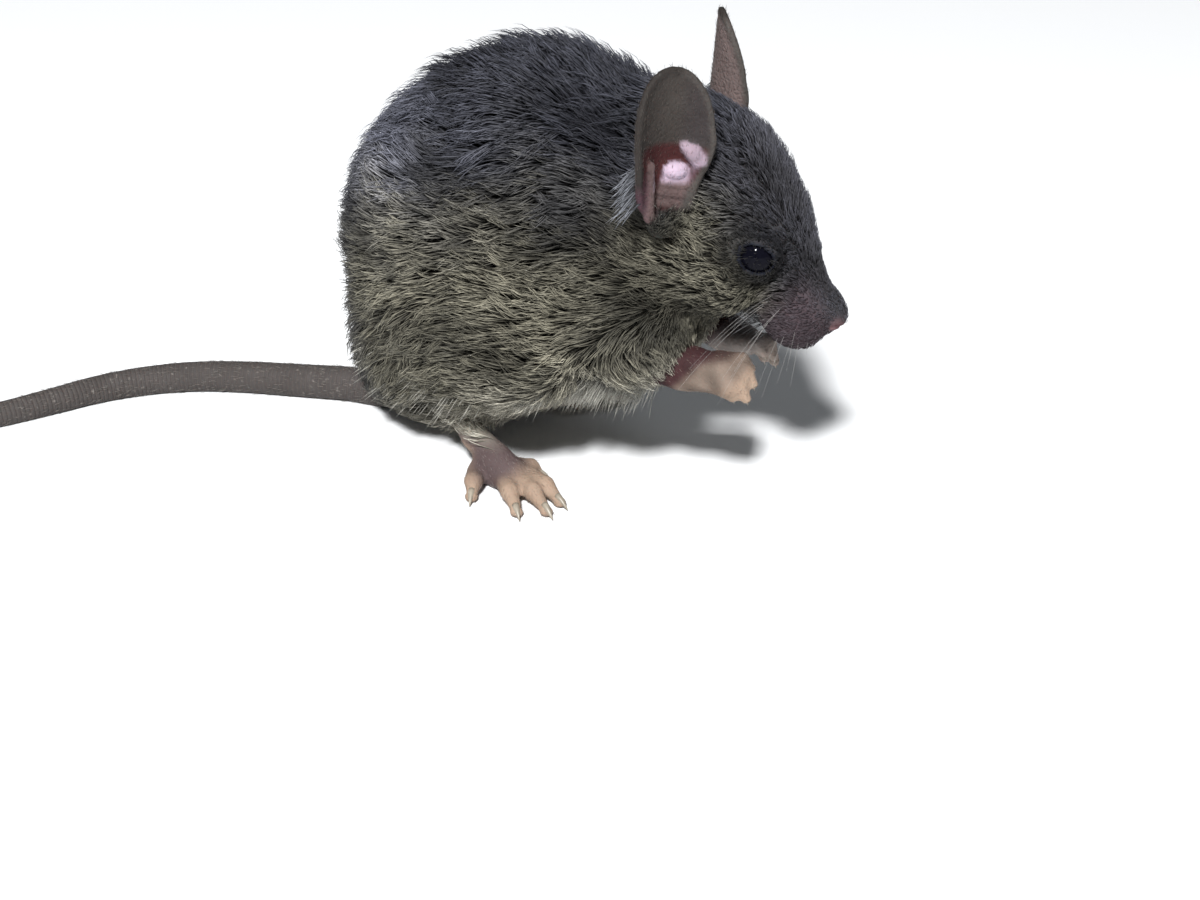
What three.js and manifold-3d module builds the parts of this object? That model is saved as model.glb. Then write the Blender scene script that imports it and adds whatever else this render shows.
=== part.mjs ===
// A house mouse, Mus musculus, as a still life-size model. It sits hunched on its hind feet, with
// the forepaws held up under the chin and the tail laid along the floor. The solids follow the
// outside of the coat. Units are millimetres: +X is ahead, +Y is the animal's left and +Z is up.
import * as THREE from "three";
import { mergeVertices } from "three/addons/utils/BufferGeometryUtils.js";
import Module from "manifold-3d";

const wasm = await Module();
wasm.setup();

// ---- driving dimensions, in the body's own frame: its origin is on the floor under the trunk ----
const GAP = 0.3; // left open between pieces that meet
const TRUNK_STEP = 2.6; // grid that the trunk's surface is drawn on
const HEAD_STEP = 1.7; // a finer one for the head

const NOSE_TIP = [29.9, 0.0, 19.2];
const HEAD_PITCH = 42; // degrees, nose down
const HEAD_YAW = 5; // degrees, turned a little to the left

const EYE_RADIUS = 1.6;
const EYE_CENTRE = [-9.0, 4.15, 0.2]; // in the head's frame, on the left

const EAR_BASE = [-16.9, 6.8, -2.4]; // in the head's frame, on the left
const EAR_AXES = { left: [-0.59, -0.04, 0.8], right: [-0.56, -0.12, 0.82] }; // base to top
const EAR_OPENINGS = { left: [0.7, 0.54, 0.48], right: [0.6, -0.66, 0.46] }; // where they face
const EAR_HEIGHT = 13.4;
const EAR_WIDTH = 9.6; // laid flat
const EAR_THICKNESS = 0.56;
const EAR_CURL_BASE = 2.6; // radius that the shell is curled to
const EAR_CURL_TOP = 5.4;

const TAIL_ROOT_RADIUS = 1.72;
const TAIL_TIP_RADIUS = 0.5;
const TAIL_PRESS = 0.12; // how far its underside is pressed flat on the floor
const TAIL_JOINS = [0.28, 0.54, 0.79]; // shares of its length where it is divided

// ---- frames ----
const vec = (p) => new THREE.Vector3(...p);
const degrees = (d) => (d * Math.PI) / 180;

function frameAt(place, pitch = 0, yaw = 0) {
  const turn = new THREE.Euler(0, degrees(pitch), degrees(yaw), "ZYX");
  const one = new THREE.Vector3(1, 1, 1);
  return new THREE.Matrix4().compose(vec(place), new THREE.Quaternion().setFromEuler(turn), one);
}

const BODY = new THREE.Matrix4();
const HEAD = frameAt(NOSE_TIP, HEAD_PITCH, HEAD_YAW);
const onSide = ([x, y, z], side) => [x, y * side, z];
const pair = (make) => [make(1), make(-1)];

// ---- fields: functions of a point, negative inside the flesh ----
function ellipsoid(centre, radii, { frame = BODY, pitch = 0 } = {}) {
  const toLocal = frame.clone().multiply(frameAt(centre, pitch)).invert();
  const [a, b, c] = radii;
  const p = new THREE.Vector3();
  return (q) => {
    p.copy(q).applyMatrix4(toLocal);
    const near = Math.hypot(p.x / a, p.y / b, p.z / c);
    const slope = Math.hypot(p.x / a ** 2, p.y / b ** 2, p.z / c ** 2);
    return slope > 0 ? (near * (near - 1)) / slope : -Math.min(a, b, c);
  };
}

function taper(from, to, fromRadius, toRadius, frame = BODY) {
  const start = vec(from).applyMatrix4(frame);
  const along = vec(to).applyMatrix4(frame).sub(start);
  const p = new THREE.Vector3();
  return (q) => {
    p.copy(q).sub(start);
    const t = THREE.MathUtils.clamp(p.dot(along) / along.lengthSq(), 0, 1);
    return p.addScaledVector(along, -t).length() - THREE.MathUtils.lerp(fromRadius, toRadius, t);
  };
}

function smooth(width, ...fields) {
  const join = (a, b) => {
    const h = Math.max(width - Math.abs(a - b), 0) / width;
    return Math.min(a, b) - (h * h * width) / 4;
  };
  return (q) => fields.map((f) => f(q)).reduce(join);
}

// ---- the body's form ----
const head = smooth(
  1.4,
  ellipsoid([-15.6, 0, -0.7], [9.3, 6.7, 6.7], { frame: HEAD }),
  taper([-2.4, 0, -1.5], [-9.5, 0, -0.8], 2.1, 5.3, HEAD),
  ellipsoid([-1.0, 0, -0.8], [1.9, 1.6, 1.4], { frame: HEAD }),
  taper([-4.4, 0, -4.2], [-12, 0, -6.0], 1.3, 4.4, HEAD),
  ...pair((s) => ellipsoid([-3.0, 1.7 * s, -2.8], [3.2, 2.1, 2.5], { frame: HEAD })),
  ...pair((s) => ellipsoid([-12.6, 3.6 * s, -4.0], [6.4, 3.7, 4.8], { frame: HEAD })),
);

const torso = smooth(
  4,
  ellipsoid([-2.6, 0, 19.1], [14.3, 12.2, 15.0]),
  ellipsoid([1.7, 0, 23.1], [13.8, 12.0, 15.1]),
  ellipsoid([-7.2, 0, 9.9], [9.5, 9.2, 8.1]),
  taper([-8, 0, 7.5], [-13.6, 0, 3.7], 6.5, 3.2),
  ellipsoid([9.6, 0, 19.0], [9.5, 9.6, 9.8]),
  taper([6, 0, 26.5], [14, 0, 29], 10.8, 6.8),
);
const haunches = pair((s) => ellipsoid([0.5, 8.6 * s, 15.3], [9.8, 4.4, 7.4], { pitch: 6 }));
const shoulders = pair((s) => ellipsoid([12.6, 6.6 * s, 18.5], [5.2, 3.6, 5.6], { pitch: -12 }));
const sleeves = [
  taper([11.8, -7.2, 17], [15.6, -5.6, 14.2], 3.2, 2.1),
  taper([11.8, 7.2, 17], [14.9, 4.9, 13.3], 3.2, 2.1),
];
const coat = smooth(2.4, torso, head, ...haunches, ...shoulders, ...sleeves);

// ---- solids ----
function solid(positions, triangles) {
  return new wasm.Manifold(
    new wasm.Mesh({
      numProp: 3,
      vertProperties: new Float32Array(positions),
      triVerts: new Uint32Array(triangles),
    }),
  );
}

function solidOf(geometry) {
  geometry.deleteAttribute("normal");
  geometry.deleteAttribute("uv");
  const merged = mergeVertices(geometry, 1e-4);
  return solid(merged.attributes.position.array, merged.index.array);
}

// The eight corners of a grid cell, and its twelve edges as pairs of corners.
const CORNERS = [0, 1, 2, 3, 4, 5, 6, 7].map((i) => [i & 1, (i >> 1) & 1, i >> 2]);
const EDGES = CORNERS.flatMap((a, i) =>
  [1, 2, 4].filter((bit) => !(i & bit)).map((bit) => [a, CORNERS[i | bit]]),
);

// The surface of a field in a box, with one vertex in each grid cell that the surface crosses.
function solidOfField(field, low, high, step) {
  const [nx, ny, nz] = low.map((v, a) => Math.ceil((high[a] - v) / step) + 1);
  const at = (i, j, k) => (k * ny + j) * nx + i;
  const value = new Float64Array(nx * ny * nz);
  const everyCell = (first, visit) => {
    for (let k = first; k < nz - 1; k++)
      for (let j = first; j < ny - 1; j++)
        for (let i = first; i < nx - 1; i++) visit(i, j, k);
  };
  value.fill(step);
  everyCell(1, (i, j, k) => {
    value[at(i, j, k)] = field(vec([i, j, k]).multiplyScalar(step).add(vec(low)));
  });

  const positions = [];
  const vertexOf = new Map();
  everyCell(0, (i, j, k) => {
    const sum = new THREE.Vector3();
    let crossings = 0;
    for (const [a, b] of EDGES) {
      const va = value[at(i + a[0], j + a[1], k + a[2])];
      const vb = value[at(i + b[0], j + b[1], k + b[2])];
      if (va < 0 === vb < 0) continue;
      sum.add(vec(a).lerp(vec(b), va / (va - vb)));
      crossings++;
    }
    if (!crossings) return;
    vertexOf.set(at(i, j, k), positions.length / 3);
    sum.divideScalar(crossings).add(vec([i, j, k])).multiplyScalar(step).add(vec(low));
    positions.push(sum.x, sum.y, sum.z);
  });

  const triangles = [];
  const quad = (facing, ...cells) => {
    const [a, b, c, d] = cells.map((cell) => vertexOf.get(at(...cell)));
    triangles.push(...(facing ? [a, b, c, a, c, d] : [a, c, b, a, d, c]));
  };
  everyCell(0, (i, j, k) => {
    const inside = value[at(i, j, k)] < 0;
    if (inside !== value[at(i + 1, j, k)] < 0)
      quad(inside, [i, j - 1, k - 1], [i, j, k - 1], [i, j, k], [i, j - 1, k]);
    if (inside !== value[at(i, j + 1, k)] < 0)
      quad(inside, [i - 1, j, k - 1], [i - 1, j, k], [i, j, k], [i, j, k - 1]);
    if (inside !== value[at(i, j, k + 1)] < 0)
      quad(inside, [i - 1, j - 1, k], [i, j - 1, k], [i, j, k], [i - 1, j, k]);
  });
  return solid(positions, triangles);
}

// The two parts of a piece on either side of a plane through a point, half the gap off each.
function parted(piece, point, normal) {
  const n = vec(normal).normalize();
  const reach = n.dot(vec(point));
  const [x, y, z] = n;
  return {
    ahead: piece.trimByPlane([x, y, z], reach + GAP / 2),
    behind: piece.trimByPlane([-x, -y, -z], GAP / 2 - reach),
  };
}

const largest = (piece) => piece.decompose().reduce((a, b) => (a.volume() > b.volume() ? a : b));
const onFloor = (piece) => piece.trimByPlane([0, 0, 1], 0);
const joined = (pieces) => pieces.reduce((a, b) => a.add(b));

function ball(centre, radii, { frame = BODY, segments = 14 } = {}) {
  const geometry = new THREE.SphereGeometry(1, segments, Math.round(segments * 0.6));
  geometry.scale(...radii).translate(...centre).applyMatrix4(frame);
  return solidOf(geometry);
}

// A round limb along a curve through the points, with domed ends and a radius for each point.
function limb(points, radii, { sides = 8, rings = 3 * points.length, dome = 2 } = {}) {
  const curve = new THREE.CatmullRomCurve3(points.map(vec), false, "centripetal");
  const length = curve.getLength();
  const radiusAt = (t) => {
    const place = THREE.MathUtils.clamp(t, 0, 1) * (radii.length - 1);
    const i = Math.min(Math.floor(place), radii.length - 2);
    return THREE.MathUtils.lerp(radii[i], radii[i + 1], place - i);
  };
  const first = radii[0];
  const last = radii[radii.length - 1];
  const rounding = Array.from({ length: dome }, (_, i) => degrees((90 * i) / dome));
  const profile = [
    ...rounding.map((a) => [first * Math.sin(a), -first * Math.cos(a)]),
    ...Array.from({ length: rings + 1 }, (_, i) => [radiusAt(i / rings), (i / rings) * length]),
    ...rounding.toReversed().map((a) => [last * Math.sin(a), length + last * Math.cos(a)]),
  ];
  const geometry = new THREE.LatheGeometry(profile.map(([x, y]) => new THREE.Vector2(x, y)), sides);
  const position = geometry.attributes.position;
  const up = new THREE.Vector3(0, 0, 1);
  for (let i = 0; i < position.count; i++) {
    const y = position.getY(i);
    const t = THREE.MathUtils.clamp(y / length, 0, 1);
    const along = curve.getTangentAt(t);
    const aside = new THREE.Vector3().crossVectors(up, along).normalize();
    const under = new THREE.Vector3().crossVectors(aside, along);
    const place = curve.getPointAt(t).addScaledVector(along, y - t * length);
    place.addScaledVector(aside, position.getX(i)).addScaledVector(under, position.getZ(i));
    position.setXYZ(i, ...place);
  }
  return solidOf(geometry);
}

// ---- ears: a curled shell, narrow and deep at the base ----
const EAR_RINGS = [0, 0.36, 0.7, 0.95];

function ear(name, side) {
  const half = EAR_THICKNESS / 2;
  const rim = EAR_RINGS.length - 1;
  const profile = [
    ...EAR_RINGS.map((share, i) => [share, i === rim ? -0.8 : -1]),
    [1, 0],
    ...EAR_RINGS.toReversed().map((share, i) => [share, i === 0 ? 0.8 : 1]),
  ];
  const disc = new THREE.LatheGeometry(profile.map(([x, y]) => new THREE.Vector2(x, y)), 18);
  const up = vec(EAR_AXES[name]).normalize();
  const facing = vec(EAR_OPENINGS[name]).projectOnPlane(up).normalize();
  const across = new THREE.Vector3().crossVectors(up, facing);
  const position = disc.attributes.position;
  for (let i = 0; i < position.count; i++) {
    const height = (0.5 - 0.5 * position.getZ(i)) * EAR_HEIGHT;
    const share = height / EAR_HEIGHT;
    const breadth = (0.6 + 0.55 * Math.sin(Math.PI * Math.min(share, 0.62))) * 0.87;
    const flat = (position.getX(i) * breadth * EAR_WIDTH) / 2;
    const layer = position.getY(i) * half;
    const curl = THREE.MathUtils.lerp(EAR_CURL_BASE, EAR_CURL_TOP, share);
    const turn = flat / curl;
    const place = vec(onSide(EAR_BASE, side))
      .addScaledVector(up, height)
      .addScaledVector(across, (curl - layer) * Math.sin(turn))
      .addScaledVector(facing, curl - (curl - layer) * Math.cos(turn));
    position.setXYZ(i, ...place);
  }
  return solidOf(disc.applyMatrix4(HEAD));
}

// ---- limbs ----
const FINE = { sides: 6, rings: 2 }; // for digits and claws

// A digit of the hind foot: its root, its last pad and a claw that goes on beyond the pad.
function digit(root, tip) {
  const way = vec(tip).sub(vec(root)).normalize();
  const knuckle = vec(root).lerp(vec(tip), 0.5).add(vec([0, 0, 0.45]));
  const quick = vec(tip).addScaledVector(way, -0.2).add(vec([0, 0, 0.15]));
  const point = vec(tip).addScaledVector(way, 1.15).add(vec([0, 0, -0.15]));
  const toe = limb([root, [...knuckle], tip], [0.7, 0.58, 0.64], FINE);
  const claw = limb([[...quick], [...point]], [0.34, 0.27], { sides: 6, rings: 1, dome: 1 });
  return toe.add(claw);
}

// The right hind foot: its shank, ankle and sole, then the digits from the fifth to the first.
const HIND_LINE = [
  [-2.6, -6.4, 8.6],
  [-4.4, -5.4, 5.2],
  [-1.4, -6.8, 3.2],
  [1.2, -7.8, 2.0],
  [3.0, -8.2, 1.3],
];
const HIND_RADII = [1.7, 1.5, 1.35, 1.5, 1.5];
const HIND_DIGITS = [
  [[-0.2, -8.9, 0.9], [0.9, -12.1, 0.6]],
  [[2.4, -8.9, 1.0], [5.6, -12.6, 0.6]],
  [[3.6, -8.5, 1.1], [7.9, -11.4, 0.6]],
  [[4.2, -7.6, 1.0], [8.3, -9.6, 0.6]],
  [[2.6, -6.6, 0.9], [5.0, -6.5, 0.6]],
];
const HIND_SET_BACK = { left: -2.6, right: 0 }; // the left foot is set farther back

function hindfoot(name, side) {
  const place = ([x, y, z]) => onSide([x + HIND_SET_BACK[name], y, z], -side);
  return onFloor(
    joined([
      limb(HIND_LINE.map(place), HIND_RADII, { rings: 6 }),
      limb([[0.3, -8.1, 1.1], [1.6, -8.5, 1.1]].map(place), [1.4, 1.4], { rings: 1 }),
      ...HIND_DIGITS.map(([root, tip]) => digit(place(root), place(tip))),
    ]),
  );
}

// A forepaw, held at the chin: a wrist, a palm and four fingers that are bent at their ends.
const WRISTS = { left: [15.2, 4.6, 13.0], right: [15.9, -5.3, 13.9] };
const PALM = [[0, 0, 0], [2.6, 0.5, 0], [4.6, 1.1, -0.2]];
const FINGERS = [
  [[4.0, 0.0, -0.9], [6.2, -0.1, -0.8], [6.9, 0.1, -2.1]],
  [[4.6, 0.6, -0.4], [6.9, 0.5, -0.3], [7.9, 0.7, -1.5]],
  [[4.9, 1.4, 0.1], [7.1, 1.5, 0.3], [8.1, 1.7, -0.6]],
  [[4.5, 2.1, 0.3], [6.3, 2.5, 0.5], [7.3, 2.7, -0.2]],
];

function forepaw(name, side) {
  const place = (p) => [...vec(onSide(p, -side)).add(vec(WRISTS[name]))];
  return joined([
    limb(PALM.map(place), [1.25, 1.55, 1.4], { rings: 3 }),
    ...FINGERS.map((line) => limb(line.map(place), [0.66, 0.58, 0.34], { sides: 5, rings: 3 })),
  ]);
}

// ---- tail: laid along the floor in one easy bend ----
const TAIL_TURNS = [
  [-13.5, 0.4],
  [-18.2, -0.5],
  [-23.1, -1.9],
  [-27.9, -3.3],
  [-32.4, -5.1],
  [-36.4, -7.7],
  [-39.8, -11.0],
  [-42.6, -14.9],
  [-45.4, -18.7],
  [-49.5, -23.6],
  [-55.0, -28.6],
  [-62.0, -33.0],
  [-70.0, -36.4],
  [-78.5, -39.0],
];

const tailRadius = (share) => THREE.MathUtils.lerp(TAIL_ROOT_RADIUS, TAIL_TIP_RADIUS, share ** 1.15);
const tailLine = TAIL_TURNS.map(([x, y], i) => {
  return [x, y, tailRadius(i / (TAIL_TURNS.length - 1)) - TAIL_PRESS];
});
const tailCurve = new THREE.CatmullRomCurve3(tailLine.map(vec), false, "centripetal");
const tailRadii = Array.from({ length: 21 }, (_, i) => tailRadius(i / 20));
const tail = onFloor(limb(tailLine, tailRadii, { rings: 28, sides: 8 }));

function tailPieces() {
  const pieces = [];
  let rest = tail;
  for (const share of TAIL_JOINS) {
    const cut = parted(rest, [...tailCurve.getPointAt(share)], [...tailCurve.getTangentAt(share)]);
    pieces.push(cut.behind);
    rest = cut.ahead;
  }
  return [...pieces, rest];
}

// ---- the body, parted into its pieces ----
const BODY_LOW = [-24, -19, -4];
const BODY_HIGH = [36, 19, 44];
const HEAD_LOW = [9, -14, 7];
const NECK_FRONT = { point: [15.8, 0, 25.5], normal: [0.973, 0, 0.233] };
const NECK_BACK = { point: [10.6, 0, 27], normal: [0.963, 0, 0.27] };

const body = onFloor(solidOfField(coat, BODY_LOW, BODY_HIGH, TRUNK_STEP));
const grown = (q) => coat(q) - GAP;
const around = solidOfField(grown, BODY_LOW, BODY_HIGH, TRUNK_STEP);
const aroundHead = solidOfField(grown, HEAD_LOW, BODY_HIGH, HEAD_STEP);
const fore = solidOfField(coat, HEAD_LOW, BODY_HIGH, HEAD_STEP);

const thighRegion = (side, grow = 0) => {
  const radii = [10.4, 7.2, 9.6].map((r) => r + grow);
  return ball([0.8, 12.4 * side, 13.8], radii, { segments: 16 });
};
const armRegion = (name, side, grow = 0) => {
  const line = [[10.8, 10.4 * side, 19], [13, 8.2 * side, 16.8], WRISTS[name]];
  return limb(line, [4.6, 4.2, 3.4].map((r) => r + grow), { sides: 10, rings: 4, dome: 3 });
};
const eyeball = (side, grow = 0) => {
  const radius = EYE_RADIUS + grow;
  const radii = [radius, radius, radius];
  return ball(onSide(EYE_CENTRE, side), radii, { frame: HEAD, segments: 12 });
};

const SIDES = { left: 1, right: -1 };
const bothSides = (make) => Object.entries(SIDES).map(([name, side]) => make(name, side));
const arms = joined(bothSides((name, side) => armRegion(name, side, GAP)));
const thighs = joined(bothSides((name, side) => thighRegion(side, GAP)));
const eyes = joined(bothSides((name, side) => eyeball(side, GAP)));

const shortened = body.subtract(arms).subtract(thighs);
const rear = parted(shortened, NECK_BACK.point, NECK_BACK.normal);
const middle = parted(rear.ahead, NECK_FRONT.point, NECK_FRONT.normal);
const headFront = parted(fore, NECK_FRONT.point, NECK_FRONT.normal).ahead;

const COAT = { color: "#4b473d", roughness: 0.92 };
const SKIN = { color: "#b98f84", roughness: 0.7 };
const EAR_SKIN = { color: "#6d5a50", roughness: 0.75 };
const TAIL_SKIN = { color: "#4d423b", roughness: 0.8 };
const EYE = { color: "#07070a", roughness: 0.08 };

const group = new THREE.Group();
group.name = "house_mouse";

function add(name, piece, finish) {
  const mesh = largest(piece).getMesh();
  const geometry = new THREE.BufferGeometry();
  geometry.setAttribute("position", new THREE.BufferAttribute(mesh.vertProperties, 3));
  geometry.setIndex(new THREE.BufferAttribute(mesh.triVerts, 1));
  geometry.computeVertexNormals();
  const node = new THREE.Mesh(
    geometry,
    new THREE.MeshStandardMaterial({ ...finish, metalness: 0, name: `${name}_finish` }),
  );
  node.name = name;
  group.add(node);
}

add("head", headFront.subtract(eyes).subtract(arms), COAT);
add("neck", middle.behind, COAT);
add("trunk", rear.behind, COAT);
for (const [name, side] of Object.entries(SIDES)) {
  add(`eye_${name}`, eyeball(side), EYE);
  add(`ear_${name}`, ear(name, side).subtract(around).subtract(aroundHead), EAR_SKIN);
  add(`foreleg_${name}`, body.intersect(armRegion(name, side)), COAT);
  add(`forepaw_${name}`, forepaw(name, side).subtract(around), SKIN);
  add(`thigh_${name}`, body.intersect(thighRegion(side)).subtract(arms), COAT);
  add(`hindfoot_${name}`, hindfoot(name, side).subtract(around), SKIN);
}
const tailNames = ["root", "middle", "end", "tip"];
tailPieces().forEach((piece, i) => add(`tail_${tailNames[i]}`, piece.subtract(around), TAIL_SKIN));

// The frame: the middle of the bounding box's bottom is the origin.
const bounds = new THREE.Box3().setFromObject(group);
const centre = bounds.getCenter(new THREE.Vector3());
for (const node of group.children) node.geometry.translate(-centre.x, -centre.y, -bounds.min.z);

export default group;
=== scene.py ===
import bpy
import numpy as np
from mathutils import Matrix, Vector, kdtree


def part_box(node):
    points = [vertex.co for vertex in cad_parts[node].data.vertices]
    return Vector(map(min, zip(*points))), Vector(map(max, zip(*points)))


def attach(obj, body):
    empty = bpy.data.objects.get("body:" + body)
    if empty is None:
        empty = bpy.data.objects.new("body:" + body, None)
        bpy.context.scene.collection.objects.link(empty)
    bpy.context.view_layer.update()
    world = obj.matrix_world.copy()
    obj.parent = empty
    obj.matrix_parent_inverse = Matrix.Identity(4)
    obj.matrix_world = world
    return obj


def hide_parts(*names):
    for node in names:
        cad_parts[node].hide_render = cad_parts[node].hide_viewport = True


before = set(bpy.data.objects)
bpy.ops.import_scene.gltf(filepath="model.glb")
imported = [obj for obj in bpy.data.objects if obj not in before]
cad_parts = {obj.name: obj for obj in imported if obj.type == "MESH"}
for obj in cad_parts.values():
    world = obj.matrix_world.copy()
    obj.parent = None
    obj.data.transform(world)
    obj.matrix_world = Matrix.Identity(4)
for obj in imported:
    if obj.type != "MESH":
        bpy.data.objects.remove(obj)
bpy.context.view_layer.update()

# ---- How the mouse stands ---------------------------------------------------------------------
# Its own frame is in millimetres, with the origin on the floor under the trunk, X ahead and Y to
# its left. The head has a second frame at the tip of the nose, pitched down along the snout and
# turned a little to its left.
MM = 0.001
NOSE_TIP = np.array([29.9, 0.0, 19.2])
HEAD_PITCH = np.radians(42)
HEAD_YAW = np.radians(5)
EYE_CENTRE = np.array([-9.0, 4.15, 0.2])  # in the head's frame, on the left


def turn_about(axis, angle):
    c, s = np.cos(angle), np.sin(angle)
    if axis == "y":
        return np.array([[c, 0, s], [0, 1, 0], [-s, 0, c]])
    return np.array([[c, -s, 0], [s, c, 0], [0, 0, 1]])


BODY = (np.eye(3), np.zeros(3))
HEAD = (turn_about("z", HEAD_YAW) @ turn_about("y", HEAD_PITCH), NOSE_TIP)


def out_of(frame_, points):
    turn, origin = frame_
    return np.asarray(points, float) @ turn.T + origin


def into(frame_, points):
    turn, origin = frame_
    return (points - origin) @ turn


def unit(v):
    return v / (np.linalg.norm(v, axis=-1, keepdims=True) + 1e-9)


def on_side(point, side):
    return np.asarray(point, float) * [1, side, 1]


eye_box = np.array([tuple(corner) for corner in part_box("eye_left")])
shift = eye_box.mean(0) / MM - out_of(HEAD, EYE_CENTRE)


def placed(points):
    return (np.asarray(points, float) + shift) * MM


# ---- Camera -----------------------------------------------------------------------------------
# A hand-held view from the mouse's right, a little ahead of it and well above the floor, through a
# lens of medium length.
CAMERA_SPOT = (73.9, -141.9, 94.5)
CAMERA_DOWN = 31
CAMERA_HEADING = 25
camera = bpy.data.objects.new("camera", bpy.data.cameras.new("camera"))
bpy.context.scene.collection.objects.link(camera)
camera.data.lens = 60
camera.data.sensor_width = 36
camera.data.clip_start = 0.005
camera.location = placed(CAMERA_SPOT)
camera.rotation_euler = np.radians([90 - CAMERA_DOWN, 0, CAMERA_HEADING])
bpy.context.scene.camera = camera

# ---- Skin: the form of the body ---------------------------------------------------------------
# One closed skin covers the mouse from the nose to the tip of the tail. The head, trunk, haunches
# and shoulders swell into each other, and the skin lies under the tips of the coat by its depth.


def ellipsoid(centre, radii, frame_=BODY, pitch=0):
    turn = frame_[0] @ turn_about("y", np.radians(pitch))
    own = (turn, out_of(frame_, centre))
    radii = np.asarray(radii, float)

    def field(p):
        q = into(own, p) / radii
        near = np.sqrt((q**2).sum(1))
        slope = np.sqrt(((q / radii) ** 2).sum(1)) + 1e-9
        return near * (near - 1) / slope

    return field


def taper(start, end, start_radius, end_radius, frame_=BODY):
    a, b = out_of(frame_, start), out_of(frame_, end)
    along = b - a

    def field(p):
        t = np.clip((p - a) @ along / (along @ along), 0, 1)
        away = p - a - t[:, None] * along
        return np.sqrt((away**2).sum(1)) - (start_radius + (end_radius - start_radius) * t)

    return field


def meld(width, a, b):
    h = np.maximum(width - np.abs(a - b), 0) / width
    return np.minimum(a, b) - h * h * width / 4


def carve(width, a, b):
    return -meld(width, -a, b)


def melded(width, *fields):
    def field(p):
        total = fields[0](p)
        for other in fields[1:]:
            total = meld(width, total, other(p))
        return total

    return field


def near_only(field, corner, other, margin=3.0):
    """The same field, worked out only near a box, and simply large elsewhere."""
    low, high = np.minimum(corner, other) - margin, np.maximum(corner, other) + margin

    def limited(p):
        d = np.full(len(p), 2.0 * margin)
        inside = ((p > low) & (p < high)).all(1)
        if inside.any():
            d[inside] = field(p[inside])
        return d

    return limited


def both(make):
    return [make(1), make(-1)]


head_form = melded(
    1.4,
    ellipsoid((-15.6, 0, -0.7), (9.3, 6.7, 6.7), HEAD),
    taper((-2.4, 0, -1.5), (-9.5, 0, -0.8), 2.1, 5.3, HEAD),
    ellipsoid((-1.0, 0, -0.8), (1.9, 1.6, 1.4), HEAD),
    taper((-4.4, 0, -4.2), (-12, 0, -6.0), 1.3, 4.4, HEAD),
    *both(lambda s: ellipsoid((-3.0, 1.7 * s, -2.8), (3.2, 2.1, 2.5), HEAD)),
    *both(lambda s: ellipsoid((-12.6, 3.6 * s, -4.0), (6.4, 3.7, 4.8), HEAD)),
)
torso_form = melded(
    4,
    ellipsoid((-2.6, 0, 19.1), (14.3, 12.2, 15.0)),
    ellipsoid((1.7, 0, 23.1), (13.8, 12.0, 15.1)),
    ellipsoid((-7.2, 0, 9.9), (9.5, 9.2, 8.1)),
    taper((-8, 0, 7.5), (-13.6, 0, 3.7), 6.5, 3.2),
    ellipsoid((9.6, 0, 19.0), (9.5, 9.6, 9.8)),
    taper((6, 0, 26.5), (14, 0, 29), 10.8, 6.8),
)
coat_form = melded(
    2.4,
    torso_form,
    head_form,
    *both(lambda s: ellipsoid((0.5, 8.6 * s, 15.3), (9.8, 4.4, 7.4), pitch=6)),
    *both(lambda s: ellipsoid((12.6, 6.6 * s, 18.5), (5.2, 3.6, 5.6), pitch=-12)),
    taper((11.8, -7.2, 17), (15.6, -5.6, 14.2), 3.2, 2.1),
    taper((11.8, 7.2, 17), (14.9, 4.9, 13.3), 3.2, 2.1),
)

WRISTS = {"left": np.array([15.2, 4.6, 13.0]), "right": np.array([15.9, -5.3, 13.9])}
SIDES = {"left": 1, "right": -1}


def ease(low, high, x):
    t = np.clip((x - low) / (high - low), 0, 1)
    return t * t * (3 - 2 * t)


def coat_depth(p):
    h = into(HEAD, p)
    on_head = ease(-12.5, -8, h[:, 2]) * ease(-21, -16, h[:, 0])
    face = 1.15 - 0.5 * ease(-11, -6.5, h[:, 0]) - 0.45 * ease(-5.5, -2.6, h[:, 0])
    depth = 2.0 + (face - 2.0) * on_head
    for wrist in WRISTS.values():
        reach = np.sqrt(((p - wrist) ** 2).sum(1))
        depth += (0.7 - depth) * (1 - ease(1.5, 7, reach))
    depth += (1.5 - depth) * (1 - ease(5, 12, p[:, 2])) * (depth > 1.5)
    for side in (1, -1):
        reach = np.sqrt(((h - on_side(EYE_CENTRE, side)) ** 2).sum(1))
        depth += (0.35 - depth) * (1 - ease(1.7, 4.2, reach))
    return depth


# ---- Skin: eyelids, nose and mouth ------------------------------------------------------------
# Dark lids ring each eye. The nose is a small bare pad with two slit nostrils over a cleft, and
# the lips meet in a line that runs back under the whisker pads.
EYE_RADIUS = 1.6
LID_THICKNESS = 0.20
EYE_SLIT = (1.50, 1.06)  # half the length and half the height of the opening between the lids


def lids(side):
    """A shell over the eyeball with an almond opening, and how far a point is from the opening."""
    outward = unit(on_side((0.10, 0.95, 0.26), side))
    along = np.array([0.94, 0, 0.30])
    along = unit(along - (along @ outward) * outward)
    over = np.cross(along, outward)

    def field(p):
        q = into(HEAD, p) - on_side(EYE_CENTRE, side)
        shell = np.abs(np.linalg.norm(q, axis=1) - EYE_RADIUS - LID_THICKNESS / 2) - LID_THICKNESS
        ring = np.hypot(q @ along / EYE_SLIT[0], q @ over / EYE_SLIT[1])
        opening = np.where(q @ outward > 0, (ring - 1) * EYE_SLIT[1], EYE_SLIT[1])
        return carve(0.1, shell, opening), opening

    return field


def eye_hollow(side):
    return ellipsoid(on_side(EYE_CENTRE, side), (EYE_RADIUS - 0.03,) * 3, HEAD)


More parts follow.
